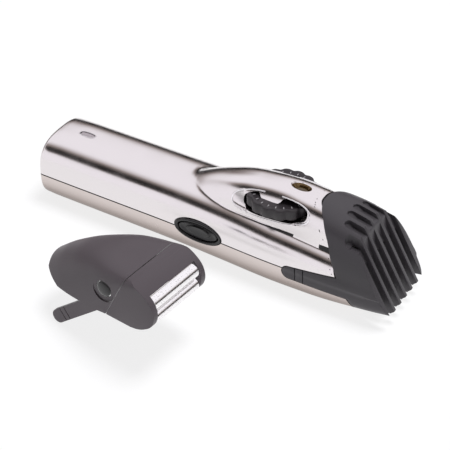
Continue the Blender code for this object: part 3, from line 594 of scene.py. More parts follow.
# %% Charging inlet and screw seats
boolean(bottom, prism("inlet", [(-2, 5.0), (4, 5.0), (4, 10.0), (-2, 10.0)], -4.1, 4.1))
SCREWS = ((66.0, 0.0), (126.0, 10.0), (126.0, -10.0))
for x, y in SCREWS:
    seat = float(belly(x)) + 1.25
    boolean(bottom, prism("screw_seat", oval(x, y, 2.7, 2.7, 40), -2, seat, along="Z"))
    boolean(bottom, prism("screw_hole", oval(x, y, 1.3, 1.3, 24), -2, 8, along="Z"))
print("bottom cover", len(bottom.data.polygons), "faces after cutting")

# %% [markdown]
# The covers get two materials: plating on the skin, and bare black ABS on the inner faces.
# A face is inner when it lies well inside the seen skin, along the split, or on the plane of
# the front rake.

# %% Plated outside, bare inside
DEEP, REAR_SKIN, AT_SPLIT, AT_RAKE = 1.0, 1.5, 0.02, 0.04


def two_sided(shell, outer, inner):
    """Give faces that lie well inside the skin the inner material."""
    shell.data.materials.clear()
    shell.data.materials.append(outer)
    shell.data.materials.append(inner)
    centres = np.empty(len(shell.data.polygons) * 3)
    shell.data.polygons.foreach_get("center", centres)
    x, y, z = centres.reshape(-1, 3).T / MM
    x = x + REAR_TO_ORIGIN
    rise = z - SPLIT_Z
    angle = np.arctan2(rise, y)
    depth = seen_radius(x, angle) - np.hypot(y, rise)
    hidden = (depth > DEEP) & (x > END_LENGTH - REAR_SKIN)
    hidden |= np.abs(z - SPLIT_Z) < SPLIT_GAP + AT_SPLIT
    hidden |= np.abs(x + FRONT_RAKE * z - FRONT_X) < AT_RAKE
    shell.data.polygons.foreach_set("material_index", hidden.astype(np.int32))
    return int(hidden.sum())


for shell, node, plating in ((top, "top_cover", NICKEL), (bottom, "bottom_cover", SHADED_NICKEL)):
    print(shell.name, two_sided(shell, plating, BARE_BLACK), "inner faces")
    crisp(shell, 30)
    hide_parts(node)
    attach(shell, "housing")

# %% [markdown]
# ## Guide comb
# The comb is one moulding: a hood over the front of the handle, two arms that slide in the
# covers' slots, and seven plates that stand the blade off the skin.  It follows the fuller
# envelope, and its rear edge follows the covers' bulging one across a narrow gap.  The gaps
# between its plates are cut by tools with round ends, as a moulder's blades are rounded there.

# %% Side view of the comb
COMB_PITCH, COMB_TEETH, TOOTH, FACE_LENGTH, ROOM_HALF = 5.0, 7, 1.54, 23.0, 13.9
GAP = 0.5


def cut_point(along, out):
    c, s = math.cos(CUT_TURN), math.sin(CUT_TURN)
    return CUT_X + along * c + out * s, CUT_Z - along * s + out * c


def comb_side_view():
    outline = [(146.0, 43.0), cut_point(-12.0, 0), cut_point(FACE_LENGTH, 0),
               cut_point(FACE_LENGTH + 0.4, -1.6), (163.6, 2.6), (158.4, 1.7), (154.4, 1.9)]
    edge = FRONT_X + GAP
    outline += [(edge - FRONT_RAKE * 3.2, 3.2), (edge - FRONT_RAKE * ARM_LOW, ARM_LOW),
                (127.9, ARM_LOW)]
    middle, r = (ARM_LOW + ARM_HIGH) / 2, (ARM_HIGH - ARM_LOW) / 2
    for a in np.radians(np.linspace(255, 105, 21)):
        outline.append((ARM_BACK + r + r * math.cos(a), middle + r * math.sin(a)))
    outline.append((ARM_BACK + r, ARM_HIGH))
    rise = np.linspace(17.2, 43.0, 25)
    return outline + list(zip(edge - FRONT_RAKE * rise + edge_bulge(rise), rise))


def comb_rings(wall):
    stations = np.concatenate([np.linspace(112, 136, 13), np.linspace(138, 169, 16)])
    upper = np.radians(np.linspace(0, 180, 97))
    lower = np.radians(np.linspace(183, 357, 59))
    rings = []
    for x in stations:
        points = skin(x, upper)
        y, rise = points[:, 1], points[:, 2] - SPLIT_Z
        scale = 1 - wall / np.hypot(y, rise)
        limit = ROOM_HALF if wall else float(half_width(x)) + WALL
        ring = np.stack([np.full(len(y), x), np.clip(y * scale, -limit, limit),
                         SPLIT_Z + rise * scale], axis=-1)
        if wall:
            tail = np.array([(x, ring[-1, 1], -12.0), (x, ring[0, 1], -12.0)])
        else:
            tail = skin(x, lower)
        rings.append(np.concatenate([ring, tail]))
    return rings


def roof_height(x, y):
    sweep = np.radians(np.linspace(20, 90, 1401))
    points = skin(x, sweep)
    return float(np.interp(-abs(y), -points[:, 1], points[:, 2]))


print("comb roof at its rear edge:", round(roof_height(127.0, 0.0), 2), "mm")

# %% Gaps between the teeth
def gap_tool(y):
    """Groove over the roof and open slot down the face, rounded in plan at its rear end."""
    half = (COMB_PITCH - TOOTH) / 2
    start = 139.4 + 0.03 * y * y
    line = abs(y) + 1.2
    rings = []
    for across in np.sin(np.linspace(-np.pi / 2, np.pi / 2, 13)):
        back = start + half * (1 - math.sqrt(max(1 - across ** 2, 0.0)))
        ring = [(back, 60.0), (back, roof_height(start, line) - 1.0)]
        for x in (143.0, 146.5, 150.0):
            ring.append((max(x, start + 2.4), roof_height(x, line) - 1.9))
        ring += [cut_point(-3.0, -1.9), cut_point(0.0, -1.9), cut_point(0.0, -9.0),
                 cut_point(44.0, -9.0), cut_point(44.0, 44.0)]
        rings.append([(x, y + across * half, z) for x, z in ring])
    return ring_body("comb_gap_tool", rings)


comb = ring_body("guide_comb_shape", comb_rings(0.0))
boolean(comb, prism("comb_view", comb_side_view(), -22, 22), "INTERSECT")
room = ring_body("comb_room", comb_rings(3.4))
room_view = [(100, 45), (146, 45), cut_point(-12, -3.1), cut_point(FACE_LENGTH + 12, -3.1),
             (150, -9), (100, -9)]
boolean(room, prism("room_view", room_view, -20, 20), "INTERSECT")
boolean(comb, room)
boolean(comb, prism("arm_room", [(100, -5), (147.3, -5), (147.3, 16.3), (100, 16.3)],
                    -ARM_INNER, ARM_INNER))
for i in range(COMB_TEETH - 1):
    boolean(comb, gap_tool((i - (COMB_TEETH - 2) / 2) * COMB_PITCH))
print("comb", len(comb.data.polygons), "faces")

# %% Two grip lines across each arm, and softened edges
for x in (126.0, 129.5):
    line = [(x - 0.22, 8.0), (x + 0.22, 8.0), (x + 0.22, 16.0), (x - 0.22, 16.0)]
    boolean(comb, prism("grip_line", line, 17.4, 24))
    boolean(comb, prism("grip_line", line, -24, -17.4))


def rounded(made, width, segments=2, degrees=35):
    """Round off every edge sharper than this, by a width in millimetres."""
    change = made.modifiers.new("round", "BEVEL")
    change.width, change.segments = width * MM, segments
    change.limit_method, change.angle_limit = "ANGLE", math.radians(degrees)
    change.use_clamp_overlap = True
    change.harden_normals = False
    return baked(made)


outward(comb)
rounded(comb, 0.18)
comb.data.materials.clear()
comb.data.materials.append(CHARCOAL)
crisp(comb, 40)
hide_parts("guide_comb")
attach(comb, "comb")
print("comb", len(comb.data.polygons), "faces after rounding")

# %% [markdown]
# ## Length dial
# The dial is a thick disc with a scalloped rim for the thumb, on an upright axle inside the
# pod, so it shows on both sides.  It is turned as a profile: every ring of points follows the
# scallops less and less towards the top face, and the rim's edges are rounded.

# %% Dial
def scalloped_ring(radius, z, share):
    turn = np.linspace(0, 2 * np.pi, 384, endpoint=False)
    wave = 0.5 * (1 - np.cos(DIAL_LOBES * turn))
    r = radius - 0.75 * share * wave ** 1.6
    return np.stack([DIAL_X + r * np.cos(turn), r * np.sin(turn), np.full(turn.shape, z)], -1)


def dial_body():
    top_z, low_z = DIAL_HIGH, DIAL_LOW
    profile = [(1.8, low_z, 0), (9.0, low_z, 0), (13.9, low_z, 1), (14.35, low_z + 0.12, 1),
               (14.6, low_z + 0.5, 1), (14.6, top_z - 1.0, 1), (14.45, top_z - 0.5, 1),
               (14.1, top_z - 0.15, 1), (13.6, top_z, 0.8), (12.6, top_z, 0.0),
               (12.3, top_z - 0.25, 0), (6.0, top_z - 0.25, 0), (1.8, top_z - 0.25, 0)]
    rings = np.stack([scalloped_ring(*p) for p in profile])
    rows, columns = rings.shape[:2]
    rows_closed = np.concatenate([rings, rings[:1]])
    return outward(mesh_object("length_dial_body", metres(rows_closed.reshape(-1, 3)),
                               woven(rows + 1, columns, closed=True), DIAL_BLACK))


dial = crisp(dial_body(), 40)
for part in (dial,):
    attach(part, "dial")
frame_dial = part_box("length_dial")
print("dial", len(dial.data.polygons), "faces; CAD box", [tuple(v) for v in frame_dial])

# %% [markdown]
# The dial's marks are short raised bars near the rim, one for each length step.  They repeat
# round a circle, which is work for Geometry Nodes: a circle of points, a small bar on each, all
# turned to face the axle.

# %% Marks round the dial by Geometry Nodes
def node_group(name, inputs):
    """An empty geometry tree with named number inputs."""
    group = bpy.data.node_groups.new(name, "GeometryNodeTree")
    group.interface.new_socket("Geometry", in_out="OUTPUT", socket_type="NodeSocketGeometry")
    for label, value in inputs.items():
        socket = group.interface.new_socket(label, in_out="INPUT", socket_type="NodeSocketFloat")
        socket.default_value = value
    return group, add_node(group, "NodeGroupInput"), add_node(group, "NodeGroupOutput")


def run_nodes(made, group, values):
    """Run a geometry tree with its inputs set by identifier, and keep a plain mesh."""
    change = made.modifiers.new("nodes", "NODES")
    change.node_group = group
    for item in group.interface.items_tree:
        if item.in_out == "INPUT" and item.name in values:
            change[item.identifier] = values[item.name]
    return baked(made)


def end_tree(group, geometry, finish, result):
    """Make instances real and give them their material, as the last nodes of a tree."""
    real = add_node(group, "GeometryNodeRealizeInstances", {"Geometry": geometry})
    coat = add_node(group, "GeometryNodeSetMaterial", {"Geometry": real.outputs[0],
                                                       "Material": finish})
    group.links.new(coat.outputs[0], result.inputs[0])


def bar_circle(finish):
    group, given, result = node_group("bars_round_a_circle", {
        "Count": 12.0, "Radius": 0.0117, "Length": 0.0015, "Width": 0.0003, "Height": 0.00012})
    count = add_node(group, "FunctionNodeFloatToInt", {0: given.outputs["Count"]})
    ring = add_node(group, "GeometryNodeMeshCircle", {"Vertices": count.outputs[0],
                                                      "Radius": given.outputs["Radius"]})
    size = add_node(group, "ShaderNodeCombineXYZ", {0: given.outputs["Length"],
                                                    1: given.outputs["Width"],
                                                    2: given.outputs["Height"]})
    bar = add_node(group, "GeometryNodeMeshCube", {"Size": size.outputs[0]})
    place = add_node(group, "GeometryNodeInputPosition")
    facing = add_node(group, "FunctionNodeAlignRotationToVector",
                      {"Vector": place.outputs[0]}, axis="X")
    each = add_node(group, "GeometryNodeInstanceOnPoints", {
        "Points": ring.outputs["Mesh"], "Instance": bar.outputs["Mesh"],
        "Rotation": facing.outputs[0]})
    end_tree(group, each.outputs[0], finish, result)
    return group


PRINT_GREY, tree, shader = new_material("pad_printed_grey", "#b9b6ba", 0.5)
mottle(tree, shader, 1.0, "Roughness", 0.45, 0.6)
marks = run_nodes(mesh_object("dial_marks", [], []), bar_circle(PRINT_GREY),
                  {"Count": 24.0, "Radius": 11.9 * MM, "Length": 1.3 * MM, "Width": 0.28 * MM,
                   "Height": 0.1 * MM})
marks.data.transform(Matrix.Translation((metres([(DIAL_X, 0, DIAL_HIGH - 0.23)])[0]).tolist()))
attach(marks, "dial")
print("dial marks", len(marks.data.polygons), "faces")

# %% [markdown]
# ## Bright lips and rims
# A thin bright bead edges the dial's opening, except above its tongue, and the charge light.
# A bead follows a line on the skin, so it is a tube drawn along that line by Geometry Nodes.

# %% A bead along a line on the skin
def bead(name, points, radius, finish, closed=True):
    """A round bead of one radius in millimetres along a line of points."""
    group, given, result = node_group(name + "_tree", {"Radius": radius * MM})
    line = bpy.data.meshes.new(name + "_line")
    n = len(points)
    last = n if closed else n - 1
    line.from_pydata([tuple(p) for p in metres(points)],
                     [(i, (i + 1) % n) for i in range(last)], [])
    holder = bpy.data.objects.new(name, line)
    WORK.objects.link(holder)
    group.interface.new_socket("Line", in_out="INPUT", socket_type="NodeSocketGeometry")
    group.interface.move(group.interface.items_tree["Line"], 0)
    curve = add_node(group, "GeometryNodeMeshToCurve", {"Mesh": given.outputs["Line"]})
    section = add_node(group, "GeometryNodeCurvePrimitiveCircle",
                       {"Resolution": 10, "Radius": given.outputs["Radius"]})
    tube = add_node(group, "GeometryNodeCurveToMesh", {
        "Curve": curve.outputs[0], "Profile Curve": section.outputs[0], "Fill Caps": True})
    end_tree(group, tube.outputs[0], finish, result)
    run_nodes(holder, group, {"Radius": radius * MM})
    return crisp(outward(holder), 60)


def on_skin(x, z, side, lift=0.0):
    """The point of the seen skin at one station and height, on one side."""
    sweep = np.radians(np.linspace(1, 89.5, 600))
    points = seen_skin(x, sweep)
    k = int(np.argmin(np.abs(points[:, 2] - z)))
    a = sweep[k]
    return (x, side * (points[k, 1] + lift * math.cos(a)), points[k, 2] + lift * math.sin(a))


def opening_line(side):
    """The opening's rim, left out above the tongue, where the pod runs on unbroken."""
    turn = np.linspace(math.radians(128), math.radians(412), 150)
    r = super_radius(np.cos(turn), np.sin(turn), SCOOP_LONG, SCOOP_HIGH, SCOOP_POWER)
    points = []
    for x, z in zip(SCOOP_X + r * np.cos(turn), r * np.sin(turn)):
        points.append(on_skin(x, SCOOP_Z + SCOOP_TILT * (x - SCOOP_X) + z, side, -0.1))
    return points


for side, word in ((-1, "right"), (1, "left")):
    lip = bead("dial_lip_" + word, opening_line(side), 0.3, CHROME, closed=False)
    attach(lip, "housing")


def on_crown(x, y):
    """The point of the skin above one place in plan, near the top of the handle."""
    points = skin(x, np.radians(np.linspace(40, 90, 400)))
    return (x, y, float(np.interp(-abs(y), -points[:, 1], points[:, 2])))


plan = oval(LIGHT_X, 0, LIGHT_LONG, LIGHT_WIDE, 72, LIGHT_POWER)
rim = bead("light_rim", [on_crown(x, y) for x, y in plan], 0.22, CHROME)
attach(rim, "housing")
print("beads made")

# %% [markdown]
# ## Light window, setting window and button
# The light window is a frosted pill, flush with the skin.  The setting window sits at the foot
# of its countersink, which a bronze-tinted cup lines.  The power button is a dished oval in a
# black bezel, with a raised oval in the middle for the thumb to find.

# %% Windows
def domed_plate(name, plan_outline, low, high, crown, finish):
    """A plate with a rounded top edge and a slight dome."""
    centre = plan_outline.mean(axis=0)
    rings = []
    for share, z in ((1.0, low), (1.0, high - 0.25), (0.97, high - 0.08), (0.9, high),
                     (0.6, high + 0.6 * crown), (0.25, high + 0.95 * crown),
                     (0.02, high + crown)):
        ring = centre + (plan_outline - centre) * share
        rings.append(np.concatenate([ring, np.full((len(ring), 1), z)], axis=1))
    return crisp(ring_body(name, rings, finish), 40)


light = domed_plate("light_window_pill", oval(LIGHT_X, 0, 3.35, 1.25, 72, LIGHT_POWER),
                    25.4, 28.35, 0.06, FROSTED)
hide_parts("light_window")
window = domed_plate("setting_window_lens", oval(WINDOW_X, 0, 2.6, 1.35, 56),
                     38.25, 38.9, 0.12, SMOKED)
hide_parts("setting_window")
BRONZE, tree, shader = new_material("bronze_tinted_cup", "#6d5b40", 0.22, 1.0)
mottle(tree, shader, 1.5, "Roughness", 0.18, 0.3)


def cup_ring(a, b, z):
    plan = oval(WINDOW_X, 0, a, b, 64)
    return np.concatenate([plan, np.full((64, 1), z)], axis=1)


cup_rings = np.stack([cup_ring(2.85, 1.55, 38.2), cup_ring(3.1, 1.72, 38.75),
                      cup_ring(4.15, 2.38, 39.95), cup_ring(4.0, 2.25, 39.95),
                      cup_ring(2.7, 1.42, 38.4), cup_ring(2.7, 1.42, 38.2),
                      cup_ring(2.85, 1.55, 38.2)])
cup = crisp(outward(mesh_object("setting_window_cup", metres(cup_rings.reshape(-1, 3)),
                                woven(7, 64, closed=True), BRONZE)), 30)
for piece in (light, window, cup):
    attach(piece, "housing")
print("windows", len(light.data.polygons), len(window.data.polygons), "faces")


# %% Button and bezel
def side_rings(profile, count=96):
    """Oval rings about the button's centre: half length, half height and place across."""
    rings = []
    for a, b, y in profile:
        outline = oval(BUTTON_X, BUTTON_Z, a, b, count)
        rings.append(np.stack([outline[:, 0], np.full(count, y), outline[:, 1]], axis=-1))
    return rings


def lathed(name, profile, finish, closed_ring):
    rings = np.stack(side_rings(profile))
    if closed_ring:
        rings = np.concatenate([rings, rings[:1]])
        rows, columns = rings.shape[:2]
        return outward(mesh_object(name, metres(rings.reshape(-1, 3)),
                                   woven(rows, columns, closed=True), finish))
    return ring_body(name, rings, finish)


bezel = lathed("button_bezel_ring", [
    (11.0, 5.1, -14.4), (11.0, 5.1, -16.9), (10.9, 5.05, -17.3), (10.6, 4.8, -17.55),
    (10.2, 4.5, -17.6), (9.8, 4.15, -17.4), (9.45, 3.9, -17.0), (9.3, 3.8, -16.4),
    (9.3, 3.8, -14.4)], GLOSS_BLACK, True)
button = lathed("power_button_cap", [
    (9.0, 3.5, -14.6), (9.0, 3.5, -16.6), (8.85, 3.4, -16.95), (8.5, 3.2, -17.05),
    (7.8, 2.95, -16.8), (6.8, 2.6, -16.55), (5.9, 2.3, -16.5), (5.6, 2.2, -16.6),
    (5.4, 2.1, -17.0), (5.1, 1.95, -17.15), (4.2, 1.6, -17.1), (2.4, 0.9, -17.0),
    (0.05, 0.02, -16.98)], GLOSS_BLACK, False)
for piece, node, body in ((bezel, "button_bezel", "housing"),
                          (button, "power_button", "power_button")):
    crisp(piece, 50)
    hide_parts(node)
    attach(piece, body)
print("button", len(button.data.polygons), "faces")

# %% [markdown]
# The dial drives the comb through a small pinion under it, which is part of the same moulding.

# %% Pinion under the dial
PINION_TEETH, PINION_PITCH_R = 16, 5.0


def pinion():
    step = 2 * math.pi / PINION_TEETH
    outline = []
    for i in range(PINION_TEETH):
        for share, r in ((-0.5, -0.65), (-0.27, -0.65), (-0.12, 0.5), (0.12, 0.5),
                         (0.27, -0.65)):
            a = math.pi / 2 + (i + share) * step
            outline.append((DIAL_X + (PINION_PITCH_R + r) * math.cos(a),
                            (PINION_PITCH_R + r) * math.sin(a)))
    gear = prism("dial_pinion", outline, 27.0, DIAL_LOW, along="Z", finish=DIAL_BLACK)
    return boolean(gear, prism("pinion_bore", oval(DIAL_X, 0, 1.75, 1.75, 32), 20, 40,
                               along="Z"))


gear = crisp(pinion(), 30)
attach(gear, "dial")
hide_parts("length_dial")
print("pinion", len(gear.data.polygons), "faces")

# %% [markdown]
# ## Foil shaver head
# The loose head is a hollow hood with two legs that clip over the handle's front, and a front
# frame that holds two foils.  Both come from one arched body: it is cut to the side view, its
# long edges are rounded, it is hollowed, and then it is parted along the slanting seam.  Both
# are kept out of mirror rays, so the handle's plating does not show them.

# %% The head's own place
HEAD_TURN, HEAD_PITCH = math.radians(-6.5), math.radians(40.7)
LEG_RADIUS, LEG_TIP_X, LEG_Z = 2.8, 0.8, 2.3
HEAD_HALF, HOOD_WALL = 15.0, 1.6
lift = LEG_RADIUS - (LEG_TIP_X * math.sin(HEAD_PITCH) + LEG_Z * math.cos(HEAD_PITCH))
HEAD_AT = np.array(metres([(57.6, -61.7, lift)])[0])
HEAD_AXES = np.array(Matrix.Rotation(HEAD_TURN, 3, "Z") @ Matrix.Rotation(-HEAD_PITCH, 3, "Y"))


def head_metres(points):
    """Points in the head's own millimetres, as metres in the frame."""
    return HEAD_AT + (np.asarray(points, float) * MM) @ HEAD_AXES.T


def head_body(name, rings, finish=None):
    made = ring_body(name, rings, finish)
    local = np.empty(len(made.data.vertices) * 3)
    made.data.vertices.foreach_get("co", local)
    own = local.reshape(-1, 3) / MM + (REAR_TO_ORIGIN, 0, 0)
    made.data.vertices.foreach_set("co", head_metres(own).reshape(-1))
    return made


print("head stands at", [round(float(v), 4) for v in HEAD_AT])

# %% Side view and arched body
hood_crest = curve_through((-12, 23.4), (0, 23.9), (10, 23.8), (20, 22.6), (30, 19.8),
                           (38, 16.0), (45.2, 11.1), (51, 6.9), (56, 3.4), (64, 2.4))
hood_power = curve_through((-12, 2.0), (12, 2.15), (30, 2.7), (45, 4.6), (64, 6.5))


def flowing(points, steps=6):
    """A smooth line through points, for the curved stretches of a side view."""
    p = np.array(points, float)
    p = np.concatenate([[2 * p[0] - p[1]], p, [2 * p[-1] - p[-2]]])
    line = []
    for k in range(1, len(p) - 2):
        for t in np.arange(steps) / steps:
            line.append(0.5 * ((2 * p[k]) + (p[k + 1] - p[k - 1]) * t
                               + (2 * p[k - 1] - 5 * p[k] + 4 * p[k + 1] - p[k + 2]) * t ** 2
                               + (3 * p[k] - p[k - 1] - 3 * p[k + 1] + p[k + 2]) * t ** 3))
    return [tuple(q) for q in line] + [tuple(p[-2])]


def hood_view():
    """Side view of the whole head: crest, nose, throat, leg tip and slanting rear edge."""
    turn = np.radians(np.linspace(270, 90, 25))
    tip = list(zip(LEG_TIP_X + LEG_RADIUS * np.cos(turn), LEG_Z + LEG_RADIUS * np.sin(turn)))
    nose = flowing([(46.0, 10.6), (51.0, 6.6), (54.5, 1.6), (56.0, -3.2), (55.8, -7.0),
                    (53.6, -10.8), (49.6, -13.2), (45.0, -13.2), (41.5, -12.3),
                    (38.5, -10.6)])
    crest, throat = [(4.0, 26.0), (30, 23.0), (40, 16.6)], [(29.7, -3.0), (26.0, -0.5)]
    rear = [(19.0, LEG_Z + LEG_RADIUS), (8.6, 13.0), (3.6, 20.6)]
    return crest + nose + throat + tip + rear


def room_outline(n):
    """Side view of the hollow inside, this far within the nose."""
    return [(-8, 26.0), (35, 19.0), (45.2, 10.9 - n), (51.0 - n, 5.6), (54.5 - n, 0.8),
            (56.0 - n, -3.6), (55.6 - n, -7.4), (53.4 - 0.7 * n, -10.9 + n),
            (49.6, -13.2 + n), (44.6, -13.2 + n), (41.5, -12.3 + n), (40.0, -25), (-8, -25)]


def arched_body(name, inset):
    rings = []
    turn = np.radians(np.linspace(0, 180, 65))
    half = HEAD_HALF - inset
    for x in np.linspace(-12, 62, 75):
        up = max(float(hood_crest(x)) - inset, 0.6)
        r = super_radius(np.cos(turn), np.sin(turn), half, up, float(hood_power(x)))
        ring = [(x, half, -30)] + list(zip(np.full(len(turn), x), r * np.cos(turn),
                                           r * np.sin(turn))) + [(x, -half, -30)]
        rings.append(ring)
    return head_body(name, rings)


def hollow_hood(name):
    hood = arched_body(name, 0.0)
    boolean(hood, prism("hood_view", hood_view(), -20, 20, place=head_metres), "INTERSECT")
    outward(hood)
    rounded(hood, 1.1, segments=4, degrees=38)
    room = arched_body("hood_room", HOOD_WALL)
    boolean(room, prism("hood_room_view", room_outline(HOOD_WALL), -20, 20,
                        place=head_metres), "INTERSECT")
    return boolean(hood, room, solver="EXACT")


print("hood crest", round(float(hood_crest(12.0)), 2), "mm above its base line")

# %% Parting the hood at its seam
SEAM_TOP, SEAM_LOW = np.array((51.0, 6.6)), np.array((30.1, -2.6))
SEAM_GAP = 0.15


def beyond_seam(shift, front):
    along = (SEAM_TOP - SEAM_LOW) / np.linalg.norm(SEAM_TOP - SEAM_LOW)
    across = np.array((along[1], -along[0]))
    base = SEAM_LOW + across * shift
    far = across * (60 if front else -60)
    corners = [base - along * 60, base + along * 60, base + along * 60 + far,
               base - along * 60 + far]
    return prism("seam_tool", [tuple(c) for c in corners], -24, 24, place=head_metres)


def round_tool(name, x, z, radius, low, high, count=48):
    turn = np.linspace(0, 2 * np.pi, count, endpoint=False)
    outline = list(zip(x + radius * np.cos(turn), z + radius * np.sin(turn)))
    return prism(name, outline, low, high, place=head_metres)


KNOB_X, KNOB_Z = 36.0, 6.0
hood = hollow_hood("foil_hood_shell")
foil_frame = hood.copy()
foil_frame.data = hood.data.copy()
foil_frame.name = "foil_frame_shell"
WORK.objects.link(foil_frame)
boolean(hood, beyond_seam(-SEAM_GAP, True), solver="EXACT")
boolean(foil_frame, beyond_seam(SEAM_GAP, False), solver="EXACT")
mouth = [(51.6, -2.7), (62, -2.9), (62, -20), (45.4, -20), (45.4, -9.0)]
boolean(foil_frame, prism("foil_mouth", mouth, -12.6, 12.6, place=head_metres),
        solver="EXACT")
for side in (-1, 1):
    low, high = sorted((side * 14.1, side * 17.1))
    boolean(hood, round_tool("finger_pocket", KNOB_X, KNOB_Z, 5.2, low, high), solver="EXACT")
    low, high = sorted((side * 11.0, side * 19.0))
    boolean(hood, round_tool("knob_bore", KNOB_X, KNOB_Z, 3.5, low, high), solver="EXACT")
    for x in (4.6, 7.4):
        low, high = sorted((side * 14.55, side * 17.0))
        groove = [(x - 0.25, -3.0), (x + 0.25, -3.0), (x + 0.25, 6.5), (x - 0.25, 6.5)]
        boolean(hood, prism("leg_groove", groove, low, high, place=head_metres),
                solver="EXACT")
for piece, node, body in ((hood, "foil_hood", "foil_head"),
                          (foil_frame, "foil_frame", "foil_cassette")):
    piece.data.materials.clear()
    piece.data.materials.append(HOOD_GREY)
    piece.visible_glossy = False
    outward(piece)
    crisp(piece, 34)
    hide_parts(node)
    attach(piece, body)
    print(piece.name, len(piece.data.polygons), "faces")

# %% [markdown]
# The release knobs are small domed buttons in round finger pockets, turned as a profile.

# %% Release knobs
def knob(side):
    profile = [(0.02, 11.6), (2.9, 11.6), (3.2, 11.9), (3.2, 14.0), (3.1, 14.35), (2.8, 14.6),
               (2.0, 14.78), (1.0, 14.88), (0.02, 14.9)]
    turn = np.linspace(0, 2 * np.pi, 48, endpoint=False)
    rings = []
    for r, y in profile:
        rings.append(np.stack([KNOB_X + r * np.cos(turn), np.full(48, side * y),
                               KNOB_Z + r * np.sin(turn)], axis=-1))
    return crisp(head_body("release_knob_" + ("left" if side > 0 else "right"), rings,
                           GLOSS_BLACK), 50)


for side, word in ((-1, "right"), (1, "left")):
    piece = knob(side)
    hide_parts("hood_button_" + word)
    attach(piece, "knob_" + word)
print("knobs made")

# %% [markdown]
# ## Foils
# A shaving foil is a sheet of nickel about 0.06 mm thick, etched with staggered holes and bent
# over the cutter.  The real holes are half a millimetre apart, which is about the finest that
# shows, so they are a bump and a darkening rather than cut holes.

# %% Perforated foil
FOIL, tree, shader = new_material("etched_nickel_foil", "#f4f2f3", 0.22, 1.0)
place = add_node(tree, "ShaderNodeTexCoord")
cells = add_node(tree, "ShaderNodeTexVoronoi", {"Vector": place.outputs["Object"],
                                                "Scale": per_metre(0.6)})
holes = add_node(tree, "ShaderNodeMapRange", {"Value": cells.outputs["Distance"],
                                              "From Min": 0.12, "From Max": 0.3,
                                              "To Min": 0.0, "To Max": 1.0})
shade = add_node(tree, "ShaderNodeMix", {"Factor": holes.outputs["Result"]},
                 data_type="RGBA")
shade.inputs[6].default_value = linear("#a9a6a8")
shade.inputs[7].default_value = linear("#f6f4f5")
tree.links.new(shade.outputs[2], shader.inputs["Base Color"])
sunk = add_node(tree, "ShaderNodeBump", {"Height": holes.outputs["Result"], "Strength": 0.4,
                                         "Distance": 0.02 * MM})
tree.links.new(sunk.outputs["Normal"], shader.inputs["Normal"])

FOILS = {"upper": (52.9, -5.9), "lower": (48.9, -10.7)}
FOIL_RADIUS, FOIL_HALF = 2.8, 12.3


def foil_sheet(word, x, z):
    """An arched sheet over its cutter, open behind."""
    turn = np.radians(np.linspace(-158, 68, 49))
    outer = np.stack([x + FOIL_RADIUS * np.cos(turn), z + FOIL_RADIUS * np.sin(turn)], -1)
    thin = FOIL_RADIUS - 0.25
    inner = np.stack([x + thin * np.cos(turn[::-1]), z + thin * np.sin(turn[::-1])], -1)
    section = np.concatenate([outer, inner])
    rings = [np.stack([section[:, 0], np.full(len(section), y), section[:, 1]], -1)
             for y in np.linspace(-FOIL_HALF, FOIL_HALF, 9)]
    return crisp(head_body("foil_sheet_" + word, rings, FOIL), 40)


for word, (x, z) in FOILS.items():
    sheet = foil_sheet(word, x, z)
    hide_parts("foil_" + word)
    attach(sheet, "foil_cassette")
print("foils made")

# %% [markdown]
# ## Materials of the CAD pieces
# The pieces inside, and the small ones outside whose CAD shape is already right, keep their
# shape and take the material that the real ones are made of.

# %% Dress the CAD nodes
FINISH_OF = {
    "stainless_steel": STEEL, "contact_metal": CONTACT, "circuit_laminate": RESIST,
    "battery_wrap": SLEEVE, "motor_can": STEEL, "smoked_clear": SMOKED, "green_lamp": LAMP,
    "white_acetal": ACETAL, "black_plastic": BARE_BLACK, "charcoal_plastic": CHARCOAL,
    "satin_nickel": NICKEL}
slot_of = {s["node"]: s["material_slot"] for s in frame["record"]["subparts"]}
for node, piece in frame["nodes"].items():
    finish = FINISH_OF[slot_of[node]]
    if not piece.material_slots:
        piece.data.materials.append(finish)
    for slot in piece.material_slots:
        slot.material = finish
print("dressed", len(frame["nodes"]), "nodes")

# %% [markdown]
# ## Studio
# Polished metal shows what stands round it more than the light that falls on it, so the studio
# is built as a surrounding.  On the near side it is bright above and below one dark gap, which
# draws the handle's shoulder.  On the far side it darkens towards the horizon, which draws the
# far edge.  The floor is a disc that glows a little, so that shadows on it stay pale.

# %% Floor
def floor_disc(radius, rings=3, count=96):
    turn = np.linspace(0, 2 * np.pi, count, endpoint=False)
    points = [(0.0, 0.0, -0.0004)]
    faces = []
    for k in range(1, rings + 1):
        r = radius * k / rings
        points += [(r * math.cos(a), r * math.sin(a), -0.0004) for a in turn]
    for c in range(count):
        faces.append((0, 1 + c, 1 + (c + 1) % count))
    for k in range(rings - 1):
        a, b = 1 + k * count, 1 + (k + 1) * count
        for c in range(count):
            d = (c + 1) % count
            faces.append((a + c, b + c, b + d, a + d))
    return mesh_object("studio_floor", points, faces)


PAPER, tree, shader = new_material("pale_studio_paper", "#8a8a8c", 0.9)
shader.inputs["Emission Color"].default_value = (1.0, 1.0, 1.0, 1.0)
shader.inputs["Emission Strength"].default_value = 0.8
mottle(tree, shader, 30.0, "Roughness", 0.85, 0.95)
floor = floor_disc(0.6)
floor.data.materials.append(PAPER)

# %% [markdown]
# The surrounding is dimmed for diffuse rays, so that plastic parts take most of their light
# from the softbox overhead and keep their shape.  The softbox does not show in the metal.

